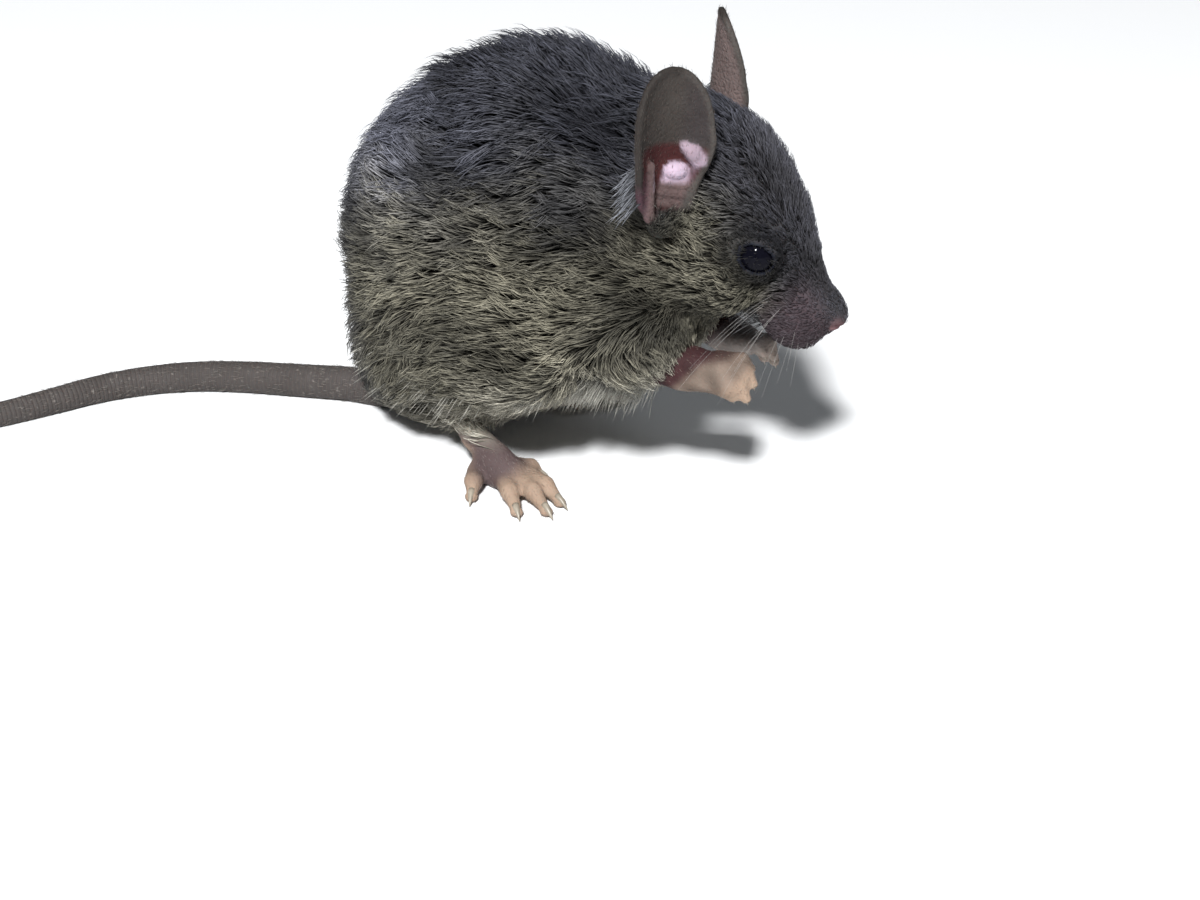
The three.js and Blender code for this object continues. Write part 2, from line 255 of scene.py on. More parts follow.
nostrils = both(lambda s: taper((0.5, 0.62 * s, -0.7), (0.1, 1.25 * s, -0.95), 0.26, 0.2, HEAD))
cleft = taper((0.75, 0, -1.0), (-0.2, 0, -4.4), 0.2, 0.3, HEAD)
mouth = both(lambda s: taper((-0.8, 0, -4.9), (-5.6, 3.0 * s, -4.6), 0.3, 0.22, HEAD))
nose_pad = melded(
    0.5,
    ellipsoid((-0.75, 0, -0.8), (1.3, 1.15, 0.95), HEAD),
    *both(lambda s: ellipsoid((-0.45, 0.8 * s, -0.95), (0.8, 0.55, 0.55), HEAD)),
)


def face_details(p, d):
    d = meld(0.5, d, nose_pad(p))
    for side in (1, -1):
        d = meld(0.5, d, lids(side)(p)[0])
        d = carve(0.15, d, eye_hollow(side)(p))
    for groove in [*nostrils, cleft, *mouth]:
        d = carve(0.25, d, groove(p))
    return d


# ---- Skin: ears -------------------------------------------------------------------------------
# Each ear is a thin curled shell, narrow and deep at the base. A rolled rim runs round it, and
# pale lobes and a ridge of gristle stand in front of the dark opening at the bottom.
EAR_BASE = np.array([-16.9, 6.8, -2.4])
EAR_AXES = {"left": (-0.59, -0.04, 0.80), "right": (-0.56, -0.12, 0.82)}
EAR_OPENINGS = {"left": (0.7, 0.54, 0.48), "right": (0.6, -0.66, 0.46)}
EAR_SINK = {"left": 0.6, "right": 0.0}
EAR_HEIGHT = 13.4
EAR_WIDTH = 9.6
EAR_CURL = (2.6, 5.4)


def ear_frame(name):
    up = unit(np.array(EAR_AXES[name]))
    facing = np.array(EAR_OPENINGS[name])
    facing = unit(facing - (facing @ up) * up)
    across = np.cross(up, facing)
    turn = HEAD[0] @ np.stack([across, facing, up], 1)
    return turn, out_of(HEAD, on_side(EAR_BASE, SIDES[name]) - EAR_SINK[name] * up)


def ear_spot(name, flat, height, rise):
    """A point by its place on the shell laid flat, its height and how far it stands inside."""
    curl = EAR_CURL[0] + (EAR_CURL[1] - EAR_CURL[0]) * height / EAR_HEIGHT
    turn = flat / curl
    inner = curl - rise
    local = (inner * np.sin(turn), curl - inner * np.cos(turn), height)
    return out_of(ear_frame(name), local)


def ear_shell(name):
    """A field of the ear's blade, with each point's place from its middle, 0, to its rim, 1."""
    own = ear_frame(name)
    front = -SIDES[name]

    def field(p):
        q = into(own, p)
        share = np.clip(q[:, 2] / EAR_HEIGHT, 0, 1)
        curl = EAR_CURL[0] + (EAR_CURL[1] - EAR_CURL[0]) * share
        flat = np.arctan2(q[:, 0], curl - q[:, 1]) * curl + front * 0.4
        breadth = (0.6 + 0.55 * np.sin(np.pi * np.minimum(share, 0.62))) * 0.83 * EAR_WIDTH / 2
        u, v = flat / breadth, q[:, 2] / (EAR_HEIGHT / 2) - 1
        near = np.hypot(u, v)
        slope = np.hypot(u / breadth, v / (EAR_HEIGHT / 2)) + 1e-9
        edge = near * (near - 1) / slope
        rim = 1 - ease(0.1, 0.9, -edge)
        off = np.abs(np.hypot(q[:, 0], q[:, 1] - curl) - curl)
        return carve(0.35, off - 0.25 - 0.06 * rim, -(edge + 0.05)), near

    return field


def ear_gristle(name):
    front = -SIDES[name]

    def part(flat, height, rise):
        return ear_spot(name, flat * front, height, rise)

    def pad(flat, height, rise, radii):
        spot = part(flat, height, rise)
        along = unit(part(flat + 0.2, height, rise) - spot)
        upward = unit(part(flat, height + 0.2, rise) - spot)
        turn = np.stack([along, upward, np.cross(along, upward)], 1)
        return ellipsoid((0, 0, 0), radii, (turn, spot))

    folds = melded(
        0.5,
        taper(part(-1.9, 0.8, 0.6), part(-2.1, 5.6, 0.6), 0.44, 0.28),
        taper(part(1.6, 6.5, 0.4), part(2.4, 6.0, 0.5), 0.3, 0.5),
        taper(part(2.4, 6.0, 0.5), part(3.0, 5.2, 0.4), 0.5, 0.45),
        pad(1.0, 4.4, 0.6, (0.95, 0.66, 0.55)),
        pad(1.1, 2.4, 0.2, (1.7, 1.9, 0.5)),
        taper(part(2.1, 3.1, 0.6), part(0.0, 3.3, 0.5), 0.3, 0.22),
        taper(part(2.0, 2.3, 0.6), part(-0.2, 2.5, 0.5), 0.32, 0.24),
        taper(part(1.8, 1.4, 0.6), part(-0.3, 1.6, 0.5), 0.34, 0.26),
        taper(part(3.3, 5.6, 0.2), part(2.6, 1.2, 0.3), 0.32, 0.42),
    )
    crease = taper(part(0.9, 4.75, 1.35), part(1.9, 4.1, 1.2), 0.1, 0.2)
    return lambda p: carve(0.2, folds(p), crease(p))


ear_roots = {
    name: taper(out_of(HEAD, on_side((-15.8, 3.4, -2.6), side)), ear_spot(name, 0, -0.4, 0.8), 2.2, 1.1)
    for name, side in SIDES.items()
}


def ears(p, d):
    for name in SIDES:
        shell = ear_shell(name)(p)[0]
        shell = meld(0.5, shell, ear_gristle(name)(p))
        d = meld(1.2, meld(0.9, d, ear_roots[name](p)), shell)
    return d


# ---- Skin: paws, feet and tail ----------------------------------------------------------------
# The forepaws are held up with their fingers bent, and the hind feet stand on spread digits with
# the heel raised. The tail lies along the floor, pressed a little flat where it touches.
PALM = ((0, 0, 0), (2.6, 0.5, 0), (4.6, 1.1, -0.2))
FINGERS = (
    ((4.0, 0.0, -0.8), (5.9, -0.1, -1.0), (6.4, 0.3, -1.9)),
    ((4.6, 0.6, -0.4), (6.7, 0.4, -0.5), (7.5, 0.6, -1.9)),
    ((4.9, 1.4, 0.1), (7.0, 1.3, 0.2), (7.7, 1.5, -0.9)),
    ((4.5, 2.1, 0.3), (6.3, 2.3, 0.5), (7.1, 2.5, -0.2)),
)
PALM_PAD = ((1.9, -0.5, -0.9), (2.0, 0.9, 0.85))
HIND_LINE = ((-1.6, -7.0, 11.0), (-3.6, -6.0, 5.4), (-1.4, -6.8, 3.2), (1.2, -7.8, 2.0), (3.0, -8.2, 1.3))
HIND_RADII = (1.9, 1.2, 1.2, 1.4, 1.35)
HIND_DIGITS = (
    ((-0.2, -8.9, 0.9), (0.9, -12.1, 0.6)),
    ((2.4, -8.9, 1.0), (5.6, -12.6, 0.6)),
    ((3.6, -8.5, 1.1), (7.9, -11.4, 0.6)),
    ((4.2, -7.6, 1.0), (8.3, -9.6, 0.6)),
    ((2.6, -6.6, 0.9), (5.0, -6.5, 0.6)),
)
HIND_SET_BACK = {"left": -2.6, "right": 0}
TAIL_TURNS = (
    (-8, 1.0, 5), (-13.5, 0.4, 0), (-18.2, -0.5, 0), (-23.1, -1.9, 0), (-27.9, -3.3, 0),
    (-32.4, -5.1, 0), (-36.4, -7.7, 0), (-39.8, -11.0, 0), (-42.6, -14.9, 0), (-45.4, -18.7, 0),
    (-49.5, -23.6, 0), (-55.0, -28.6, 0), (-62.0, -33.0, 0), (-70.0, -36.4, 0), (-78.5, -39.0, 0),
)
TAIL_RADII = (1.68, 0.5)
TAIL_PRESS = 0.12


def chain(points, radii):
    links = list(zip(points[:-1], points[1:], radii[:-1], radii[1:]))
    return melded(0.3, *[taper(a, b, ra, rb) for a, b, ra, rb in links])


def hind_place(name, point):
    x, y, z = point
    return on_side((x + HIND_SET_BACK[name], y, z), -SIDES[name])


def fore_place(name, point):
    return on_side(point, -SIDES[name]) + WRISTS[name]


def knuckled(root, tip):
    root, tip = np.asarray(root, float), np.asarray(tip, float)
    return root, root + 0.55 * (tip - root) + (0, 0, 0.42), tip


def hind_foot(name):
    digits = []
    for root, tip in HIND_DIGITS:
        joints = [hind_place(name, q) for q in knuckled(root, tip)]
        pad = ellipsoid(joints[2] + (0, 0, -0.15), (0.60, 0.52, 0.36))
        digits.append(melded(0.25, chain(joints, (0.95, 0.80, 0.40)), pad))
    foot = melded(
        0.8,
        chain([hind_place(name, q) for q in HIND_LINE], HIND_RADII),
        taper(hind_place(name, (0.3, -8.1, 1.1)), hind_place(name, (1.6, -8.5, 1.1)), 1.3, 1.3),
    )
    box = hind_place(name, (-5, -4, 0)), hind_place(name, (9, -13, 11))
    return near_only(melded(0.5, foot, *digits), *box)


def forepaw(name):
    palm = chain([fore_place(name, q) for q in ((-2.5, -0.4, 0.3), *PALM)], (1.25, 1.4, 1.75, 1.5))
    palm = melded(0.6, palm, ellipsoid(fore_place(name, PALM_PAD[0]), PALM_PAD[1]))
    fingers = [
        chain([fore_place(name, q) for q in finger], (0.82, 0.74, 0.44)) for finger in FINGERS
    ]
    box = fore_place(name, (-3, 0, -2)), fore_place(name, (9, 3, 1))
    return near_only(melded(0.6, palm, *fingers), *box)


def smooth_line(points, steps):
    """A curve through the points, evenly spaced."""
    points = np.asarray(points, float)
    ends = np.vstack([2 * points[0] - points[1], points, 2 * points[-1] - points[-2]])
    t = np.linspace(0, 1, 12, endpoint=False)[:, None]
    spans = []
    for a, b, c, d in zip(ends[:-3], ends[1:-2], ends[2:-1], ends[3:]):
        spans.append(
            b + 0.5 * t * (c - a + t * (2 * a - 5 * b + 4 * c - d + t * (3 * (b - c) + d - a)))
        )
    dense = np.vstack([*spans, points[-1:]])
    run = np.concatenate([[0], np.cumsum(np.linalg.norm(np.diff(dense, axis=0), axis=1))])
    even = np.linspace(0, run[-1], steps)
    return np.stack([np.interp(even, run, dense[:, i]) for i in range(3)], 1), even


tail_line, tail_run = smooth_line(TAIL_TURNS, 90)
tail_share = np.clip((tail_run - 6.6) / (tail_run[-1] - 6.6), 0, 1) ** 1.15
tail_radius = TAIL_RADII[0] + (TAIL_RADII[1] - TAIL_RADII[0]) * tail_share
tail_line[:, 2] += tail_radius - TAIL_PRESS


def along_tail(p):
    """The distance from the tail's surface, and how far along the tail a point is."""
    best, run = np.full(len(p), 1e9), np.zeros(len(p))
    for i in range(len(tail_line) - 1):
        a, step = tail_line[i], tail_line[i + 1] - tail_line[i]
        t = np.clip((p - a) @ step / (step @ step), 0, 1)
        radius = tail_radius[i] + (tail_radius[i + 1] - tail_radius[i]) * t
        d = np.sqrt(((p - a - t[:, None] * step) ** 2).sum(1)) - radius
        closer = d < best
        best = np.where(closer, d, best)
        run = np.where(closer, tail_run[i] + t * (tail_run[i + 1] - tail_run[i]), run)
    return best, run


tail_form = near_only(lambda p: along_tail(p)[0], (-79, -40, 0), (-6, 4, 7))
limbs = {}
for name in SIDES:
    limbs[f"hind_{name}"] = hind_foot(name)
    limbs[f"fore_{name}"] = forepaw(name)
HEAD_BOX = ((8, -15, 8), (33, 15, 44))


def skin_form(p):
    d = coat_form(p) + coat_depth(p)
    upper = ((p > HEAD_BOX[0]) & (p < HEAD_BOX[1])).all(1)
    d[upper] = ears(p[upper], face_details(p[upper], d[upper]))
    for limb in limbs.values():
        d = meld(0.8, d, limb(p))
    d = meld(1.5, d, tail_form(p))
    return np.maximum(d, -p[:, 2])


# ---- Skin: the mesh ---------------------------------------------------------------------------
# The skin is drawn over the whole form on one fine grid, so that it has no seam anywhere. Only the
# blocks of the grid near the surface are worked out, and the points are then drawn onto the form.
SKIN_LOW = np.array([-81.0, -42.0, -1.0])
SKIN_HIGH = np.array([33.0, 16.0, 45.0])
SKIN_STEP = 0.28
BLOCK = 8


def grid_values(field):
    counts = np.ceil((SKIN_HIGH - SKIN_LOW) / SKIN_STEP / BLOCK).astype(int)
    value = np.full(counts * BLOCK, 1.0, np.float32)
    blocks = np.stack(np.meshgrid(*[np.arange(c) for c in counts], indexing="ij"), -1)
    blocks = blocks.reshape(-1, 3)
    middle = field(SKIN_LOW + (blocks * BLOCK + (BLOCK - 1) / 2) * SKIN_STEP)
    for block in blocks[middle < -4]:
        i, j, k = block * BLOCK
        value[i : i + BLOCK, j : j + BLOCK, k : k + BLOCK] = -1
    close = blocks[np.abs(middle) <= 4]
    cell = np.stack(np.meshgrid(*[np.arange(BLOCK)] * 3, indexing="ij"), -1).reshape(-1, 3)
    for some in np.array_split(close, max(1, len(close) // 400)):
        index = (some[:, None] * BLOCK + cell[None]).reshape(-1, 3)
        value[tuple(index.T)] = field(SKIN_LOW + index * SKIN_STEP)
    return value


def surface_of(field):
    value = grid_values(field)
    inside = value < 0
    corner = np.array([[i & 1, i >> 1 & 1, i >> 2] for i in range(8)])
    shape = np.array(value.shape)

    def shifted(offset):
        return tuple(slice(o, o + n - 1) for o, n in zip(offset, shape))

    count = sum(inside[shifted(c)].astype(np.int8) for c in corner)
    cells = np.argwhere((count > 0) & (count < 8))
    number = np.full(value.shape, -1, np.int32)
    number[tuple(cells.T)] = np.arange(len(cells))
    total, crossings = np.zeros((len(cells), 3)), np.zeros(len(cells))
    for a in range(8):
        for bit in (1, 2, 4):
            if a & bit:
                continue
            start, end = corner[a], corner[a | bit]
            va, vb = value[tuple((cells + start).T)], value[tuple((cells + end).T)]
            cut = (va < 0) != (vb < 0)
            t = np.where(cut, va / np.where(cut, va - vb, 1), 0)[:, None]
            total += np.where(cut[:, None], start + t * (end - start), 0)
            crossings += cut
    points = SKIN_LOW + (cells + total / crossings[:, None]) * SKIN_STEP
    quads = []
    for axis in range(3):
        step = np.eye(3, dtype=int)[axis]
        u, v = np.eye(3, dtype=int)[(axis + 1) % 3], np.eye(3, dtype=int)[(axis + 2) % 3]
        here = inside[tuple(slice(0, n - s) for n, s in zip(shape, step))]
        there = inside[tuple(slice(s, n) for n, s in zip(shape, step))]
        edge = np.argwhere(here != there)
        ring = [number[tuple((edge - o).T)] for o in (u + v, v, 0 * u, u)]
        quad = np.stack(ring, 1)
        outward = here[tuple(edge.T)]
        quads.append(np.where(outward[:, None], quad, quad[:, ::-1]))
    return points, np.vstack(quads)


def slope_of(field, p, reach):
    steps = np.eye(3) * reach
    return unit(np.stack([field(p + s) - field(p - s) for s in steps], 1))


skin_points, skin_faces = surface_of(skin_form)
for _ in range(2):
    off = skin_form(skin_points)
    move = slope_of(skin_form, skin_points, 0.08) * np.clip(off, -0.15, 0.15)[:, None]
    skin_points = skin_points - 0.8 * move

# ---- Skin: colours and finish -----------------------------------------------------------------
# Under the coat the skin is slate grey. The paws are mauve with cream digits and painted shade at the
# wrists, the ears brown with pink lobes and a dark red opening deepened with painted shade, the nose is a
# dull mauve and the tail a dark grey-brown.
BARE_NOSE = (0.125, 0.080, 0.085)
NOSE_TIP_COLOUR = (0.16, 0.090, 0.095)
LID_COLOUR = (0.006, 0.007, 0.012)
PAW_BACK = (0.084, 0.060, 0.060)
PAW_DIGIT = (0.31, 0.225, 0.168)
PAW_PALM = (0.150, 0.115, 0.093)
# painted shade: dark red skin deepened as shade, for the wrist and the top edge of the forepaw
PAW_PAINTED_SHADE = (0.040, 0.018, 0.019)
FOREARM = (0.022, 0.018, 0.018)
# painted shade: the grey the far forepaw shows in the head's shadow
FAR_PAW_PAINTED_SHADE = (0.22, 0.205, 0.20)
ANKLE = (0.080, 0.052, 0.062)
EAR_BACK = (0.165, 0.126, 0.120)
EAR_INSIDE = (0.046, 0.039, 0.035)
EAR_FRONT = (0.037, 0.031, 0.031)
EAR_RIM = (0.060, 0.053, 0.049)
EAR_EDGE = (0.028, 0.024, 0.022)
EAR_PINK = (0.42, 0.33, 0.41)
EAR_RIDGE = (0.100, 0.068, 0.066)
EAR_MAUVE = (0.095, 0.050, 0.063)
# red skin of the ear opening, deepened with painted shade of the recess
EAR_RED_AND_PAINTED_SHADE = (0.048, 0.015, 0.015)
TAIL_COLOUR = (0.060, 0.053, 0.051)
UNDERFUR = {
    "back": (0.0195, 0.0200, 0.0245),
    "flank": (0.040, 0.038, 0.031),
    "belly": (0.24, 0.225, 0.185),
    "face": (0.036, 0.0350, 0.0380),
    "muzzle": (0.060, 0.044, 0.050),
}
TIPS = {
    "back": (0.080, 0.083, 0.104),
    "flank": (0.262, 0.246, 0.190),
    "belly": (0.54, 0.515, 0.44),
    "face": (0.098, 0.099, 0.120),
    "muzzle": (0.092, 0.077, 0.088),
}


# painted sheen: a paler grey patch where the light glances off the coat
PAINTED_SHEEN_SPOT = (7.0, 9.0, 29.5)  # either side of the rump, behind the trunk's middle


def blend_of(colour, other, share):
    """The first colour, or colours, moved towards the other by each point's own share."""
    colour = np.asarray(colour, float)
    return colour + (np.asarray(other) - colour) * share[:, None]


def markings(p, colours):
    """The coat's colour at each point: dark above, olive on the flanks and pale below, with a painted sheen
    high on the rump.
    """
    h = into(HEAD, p)
    on_head = ease(-19, -14, h[:, 0]) * ease(-13, -9, h[:, 2])
    wave = 0.9 * np.sin(0.55 * p[:, 0] + 0.8 * p[:, 2]) + 0.7 * np.sin(0.9 * p[:, 2] - 0.4 * p[:, 0])
    level = p[:, 2] + wave
    fringe_line = 10.0 + 0.42 * p[:, 0]
    above = p[:, 2] + 0.6 * wave + 0.1 * np.abs(p[:, 1]) - fringe_line
    colour = blend_of(colours["belly"], colours["flank"], ease(-2.6, 2.4, above))
    colour = blend_of(colour, colours["back"], ease(20, 33, level - 0.35 * p[:, 0] * (p[:, 0] < 8)))
    colour = blend_of(colour, colours["back"], 0.6 * (1 - ease(-13, -8, p[:, 0] + 0.5 * wave)))
    # painted sheen: the coat is lightened on either side of the upper rump
    from_spot = np.linalg.norm((np.abs(p) - PAINTED_SHEEN_SPOT) * (1, 0.6, 1), axis=1)
    painted_sheen = 1 - ease(2.5, 8.5, from_spot)
    colour = colour * (1 + 1.5 * (painted_sheen * (1 - ease(-4, 0, p[:, 0])))[:, None])
    cheek = h[:, 2] + 0.28 * h[:, 0] + 0.3 * wave
    throat = ease(-11.5, -9.5, h[:, 2] + 0.6 * np.abs(h[:, 1]) + 0.3 * wave)
    face = blend_of(colours["belly"], colours["flank"], throat)
    face = blend_of(face, colours["face"], ease(-4.8, -0.4, cheek))
    muzzle = ease(-6.2, -3.2, h[:, 0]) * (1 - ease(-1.6, 0.4, h[:, 2] + 0.25 * h[:, 0]))
    face = blend_of(face, colours["muzzle"], muzzle)
    return blend_of(colour, face, on_head)


def skin_zones(p):
    """How far each point belongs to an ear, a limb, the tail, the nose or an eyelid."""
    zones = {}
    shells = {name: ear_shell(name)(p)[0] for name in SIDES}
    near_ear = np.minimum.reduce([np.minimum(shells[n], ear_gristle(n)(p)) for n in SIDES])
    zones["ear"] = 1 - ease(0.05, 0.45, near_ear)
    for name, limb in limbs.items():
        zones[name] = 1 - ease(0.1, 0.8, limb(p))
        if "hind" in name:
            zones[name] *= 1 - ease(3.0, 4.6, p[:, 2])
    zones["tail"] = 1 - ease(0.1, 1.0, tail_form(p))
    zones["nose"] = 1 - ease(0.0, 0.3, nose_pad(p))
    eyes = [np.linalg.norm(into(HEAD, p) - on_side(EYE_CENTRE, s), axis=1) for s in (1, -1)]
    slits = [np.where(e < 2.6, lids(s)(p)[1], 9.0) for e, s in zip(eyes, (1, -1))]
    zones["lid"] = 1 - ease(0.1, 0.4, np.minimum(*slits))
    zones["lip"] = 1 - ease(0.12, 0.4, np.minimum(*[groove(p) for groove in mouth]))
    zones["bare"] = np.maximum.reduce(list(zones.values()))
    return zones


def skin_colours(p, zones):
    colour = markings(p, UNDERFUR)
    for name, side in SIDES.items():
        own = into(ear_frame(name), p)
        share = np.clip(own[:, 2] / EAR_HEIGHT, 0, 1)
        curl = EAR_CURL[0] + (EAR_CURL[1] - EAR_CURL[0]) * share
        off = curl - np.hypot(own[:, 0], own[:, 1] - curl)
        front = -side * own[:, 0]
        rim = ease(0.86, 0.96, ear_shell(name)(p)[1])
        inside = ease(0.0, 0.25, off)
        inner = blend_of(EAR_INSIDE, EAR_FRONT, ease(0.2, 2.2, front))
        # painted shade: the red skin low in the opening is darkened as the recess's shadow
        inner = blend_of(inner, EAR_RED_AND_PAINTED_SHADE, 1 - ease(6.5, 7.1, own[:, 2] + 0.15 * front))
        ear = blend_of(EAR_BACK, inner, inside)
        ear = blend_of(ear, blend_of(EAR_EDGE, EAR_RIM, ease(0, 1.5, front)), rim)
        lobes = 1 - ease(0.02, 0.18, ear_gristle(name)(p))
        ridge = 1 - ease(-1.6, -0.9, front)
        dull = np.maximum(ridge, 1 - ease(3.2, 3.9, own[:, 2]))
        lobe_colour = blend_of(EAR_PINK, EAR_RIDGE, dull)
        lobe_colour = blend_of(lobe_colour, EAR_RIDGE, 0.45 * ease(5.0, 5.6, own[:, 2]))
        # painted shade: the front of the lower lobes keeps the darker inside colour
        shaded = ease(0.7, 1.3, front - 0.22 * own[:, 2]) * (1 - ease(4.9, 5.5, own[:, 2]))
        ear = blend_of(ear, lobe_colour, lobes * inside * (1 - shaded))
        notch = (1 - ease(-2.4, -1.4, front)) * (1 - ease(3.4, 5.4, own[:, 2]))
        ear = blend_of(ear, EAR_MAUVE, notch)
        colour = blend_of(colour, ear, zones["ear"] * (into(HEAD, p)[:, 1] * side > 0))
    for name in SIDES:
        from_wrist = p - WRISTS[name]
        reach = from_wrist @ (1, 0, -0.9)
        # The wrist is painted dark red as shade, between the forearm's fur and the palm.
        paw = blend_of(FOREARM, PAW_PAINTED_SHADE, ease(-1.5, 1.0, reach))
        paw = blend_of(paw, PAW_PALM, ease(2.2, 3.6, reach))
        # painted shade and painted highlight of the paw's folds, as crossed waves over its colour
        painted_fold_shade = np.sin(2.6 * p[:, 0] + 1.9 * p[:, 2]) * np.sin(2.2 * p[:, 1] - 1.7 * p[:, 2])
        paw *= (1 + 0.28 * painted_fold_shade)[:, None]
        paw = blend_of(paw, PAW_DIGIT, ease(6.0, 8.0, reach))
        # painted shade along the top edge of the palm
        painted_shade_on_top = 0.8 * ease(0.7, 1.4, from_wrist[:, 2]) * (1 - ease(5, 7, from_wrist[:, 0]))
        paw = blend_of(paw, PAW_PAINTED_SHADE, painted_shade_on_top)
        # painted shade: the far paw is greyed to look as it does in the head's shadow
        if name == "left":
            paw = blend_of(paw, FAR_PAW_PAINTED_SHADE, 0.55 * ease(1.0, 3.0, reach))
        colour = blend_of(colour, paw, zones[f"fore_{name}"])
        heel = hind_place(name, (1.5, -8.2, 1.5))
        out = np.linalg.norm((p - heel)[:, :2], axis=1)
        on_digits = ease(1.6, 3.8, out) * (1 - ease(2.6, 3.6, p[:, 2]))
        foot = blend_of(PAW_BACK, PAW_DIGIT, on_digits)
        foot = blend_of(foot, ANKLE, ease(3.2, 4.6, p[:, 2]))
        colour = blend_of(colour, foot, zones[f"hind_{name}"])
    colour = blend_of(colour, TAIL_COLOUR, zones["tail"])
    tip = into(HEAD, p)
    nose = blend_of(BARE_NOSE, NOSE_TIP_COLOUR, ease(-1.2, 0.3, tip[:, 0]))
    colour = blend_of(colour, nose, zones["nose"])
    colour = blend_of(colour, NOSE_TIP_COLOUR, zones["lip"])
    return blend_of(colour, LID_COLOUR, zones["lid"])


class Wire:
    """A socket in a material, on which sums work as they do on numbers."""

    def __init__(self, tree, socket=None):
        self.tree, self.socket = tree, socket

    def node(self, kind, settings, inputs, output=0):
        made = self.tree.nodes.new(kind)
        for name, setting in settings.items():
            setattr(made, name, setting)
        for name, value in inputs.items():
            if isinstance(value, Wire):
                self.tree.links.new(value.socket, made.inputs[name])
            else:
                made.inputs[name].default_value = value
        return Wire(self.tree, made.outputs[output])

    def _sum(self, operation, a, b):
        return self.node("ShaderNodeMath", {"operation": operation}, {0: a, 1: b})

    def __add__(self, other):
        return self._sum("ADD", self, other)

    def __sub__(self, other):
        return self._sum("SUBTRACT", self, other)

    def __rsub__(self, other):
        return self._sum("SUBTRACT", other, self)

    def __mul__(self, other):
        return self._sum("MULTIPLY", self, other)

    __radd__, __rmul__ = __add__, __mul__

    def attribute(self, name, output=0):
        return self.node("ShaderNodeAttribute", {"attribute_name": name}, {}, output)

    def place(self):
        return self.node("ShaderNodeTexCoord", {}, {}, 3)

    def noise(self, place, scale, detail):
        inputs = {"Vector": place, "Scale": scale, "Detail": detail, "Roughness": 0.5}
        return self.node("ShaderNodeTexNoise", {}, inputs)

    def mixed(self, share, colour, other, how="MIX"):
        settings = {"data_type": "RGBA", "blend_type": how}
        return self.node("ShaderNodeMix", settings, {0: share, 6: colour, 7: other}, 2)

    def toned(self, colour, shade):
        grey = self.node("ShaderNodeCombineColor", {}, {0: shade, 1: shade, 2: shade})
        return self.mixed(1.0, colour, grey, "MULTIPLY")

    def bump(self, height, strength, distance):
        inputs = {"Strength": strength, "Distance": distance, "Height": height}
        return self.node("ShaderNodeBump", {}, inputs)

    def graded(self, low, high):
        """Runs from 0 to 1 as the value goes from low to high."""
        ends = {"From Min": low, "From Max": high}
        return self.node("ShaderNodeMapRange", {"clamp": True}, {"Value": self, **ends})


def new_material(name):
    material = bpy.data.materials.new(name)
    material.use_nodes = True
    tree = material.node_tree
    shader = tree.nodes["Principled BSDF"]
    return material, Wire(tree), shader


def feed(shader, name, value):
    if isinstance(value, Wire):
        value.tree.links.new(value.socket, shader.inputs[name])
    else:
        shader.inputs[name].default_value = value


def skin_finish():
    material, wire, shader = new_material("skin")
    place = wire.place()
    colour = wire.attribute("skin_colour")
    split = wire.node("ShaderNodeSeparateColor", {}, {0: wire.attribute("skin_zone")})
    bare = Wire(wire.tree, split.socket.node.outputs[0])
    tail = Wire(wire.tree, split.socket.node.outputs[1])
    run = wire.attribute("tail_run", 2)
    fine = wire.noise(place, 2600, 4)
    blotch = wire.noise(place, 420, 3)
    ringed = wire.node("ShaderNodeMath", {"operation": "SINE"}, {0: run + 0.35 * fine, 1: 0.0})
    rings = ringed.graded(-0.4, 0.9) * tail
    shade = 0.72 + 0.56 * blotch
    toned = wire.toned(colour, shade)
    flecked = wire.mixed(tail * fine.graded(0.62, 0.75) * 0.5, toned, (0.34, 0.31, 0.28, 1))
    lined = wire.mixed(0.45 * rings, flecked, (0.078, 0.068, 0.062, 1))
    cells = wire.node(
        "ShaderNodeTexVoronoi", {"feature": "DISTANCE_TO_EDGE"}, {"Vector": place, "Scale": 2300}
    )
    relief = cells.graded(0.0, 0.35) * bare * 0.5 + fine * 0.6 - rings * 1.2
    feed(shader, "Base Color", lined)
    feed(shader, "Roughness", 0.72 - 0.22 * bare * blotch.graded(0.3, 0.7) + 0.1 * fine)
    feed(shader, "Normal", wire.bump(relief, 0.5, 0.00012))
    feed(shader, "Specular IOR Level", 0.1)
    feed(shader, "Subsurface Weight", 0.12)
    feed(shader, "Subsurface Radius", (0.0012, 0.0005, 0.0004))
    return material


def new_piece(name, points, faces, finish):
    """A mesh piece from points in the body's frame and faces that all have as many corners."""
    mesh = bpy.data.meshes.new(name)
    mesh.vertices.add(len(points))
    mesh.vertices.foreach_set("co", placed(points).astype(np.float32).ravel())
    mesh.loops.add(faces.size)
    mesh.loops.foreach_set("vertex_index", faces.astype(np.int32).ravel())
    mesh.polygons.add(len(faces))
    starts = np.arange(0, faces.size, faces.shape[1], dtype=np.int32)
    mesh.polygons.foreach_set("loop_start", starts)
    mesh.update(calc_edges=True)
    mesh.validate()
    mesh.shade_smooth()
    mesh.materials.append(finish)
    piece = bpy.data.objects.new(name, mesh)
    bpy.context.scene.collection.objects.link(piece)
    return piece


def store(piece, name, kind, values):
    attribute = piece.data.attributes.new(name, kind, "POINT")
    field = "color" if kind == "FLOAT_COLOR" else "value"
    attribute.data.foreach_set(field, np.asarray(values, np.float32).ravel())


def with_alpha(colours):
    return np.hstack([colours, np.ones((len(colours), 1))])


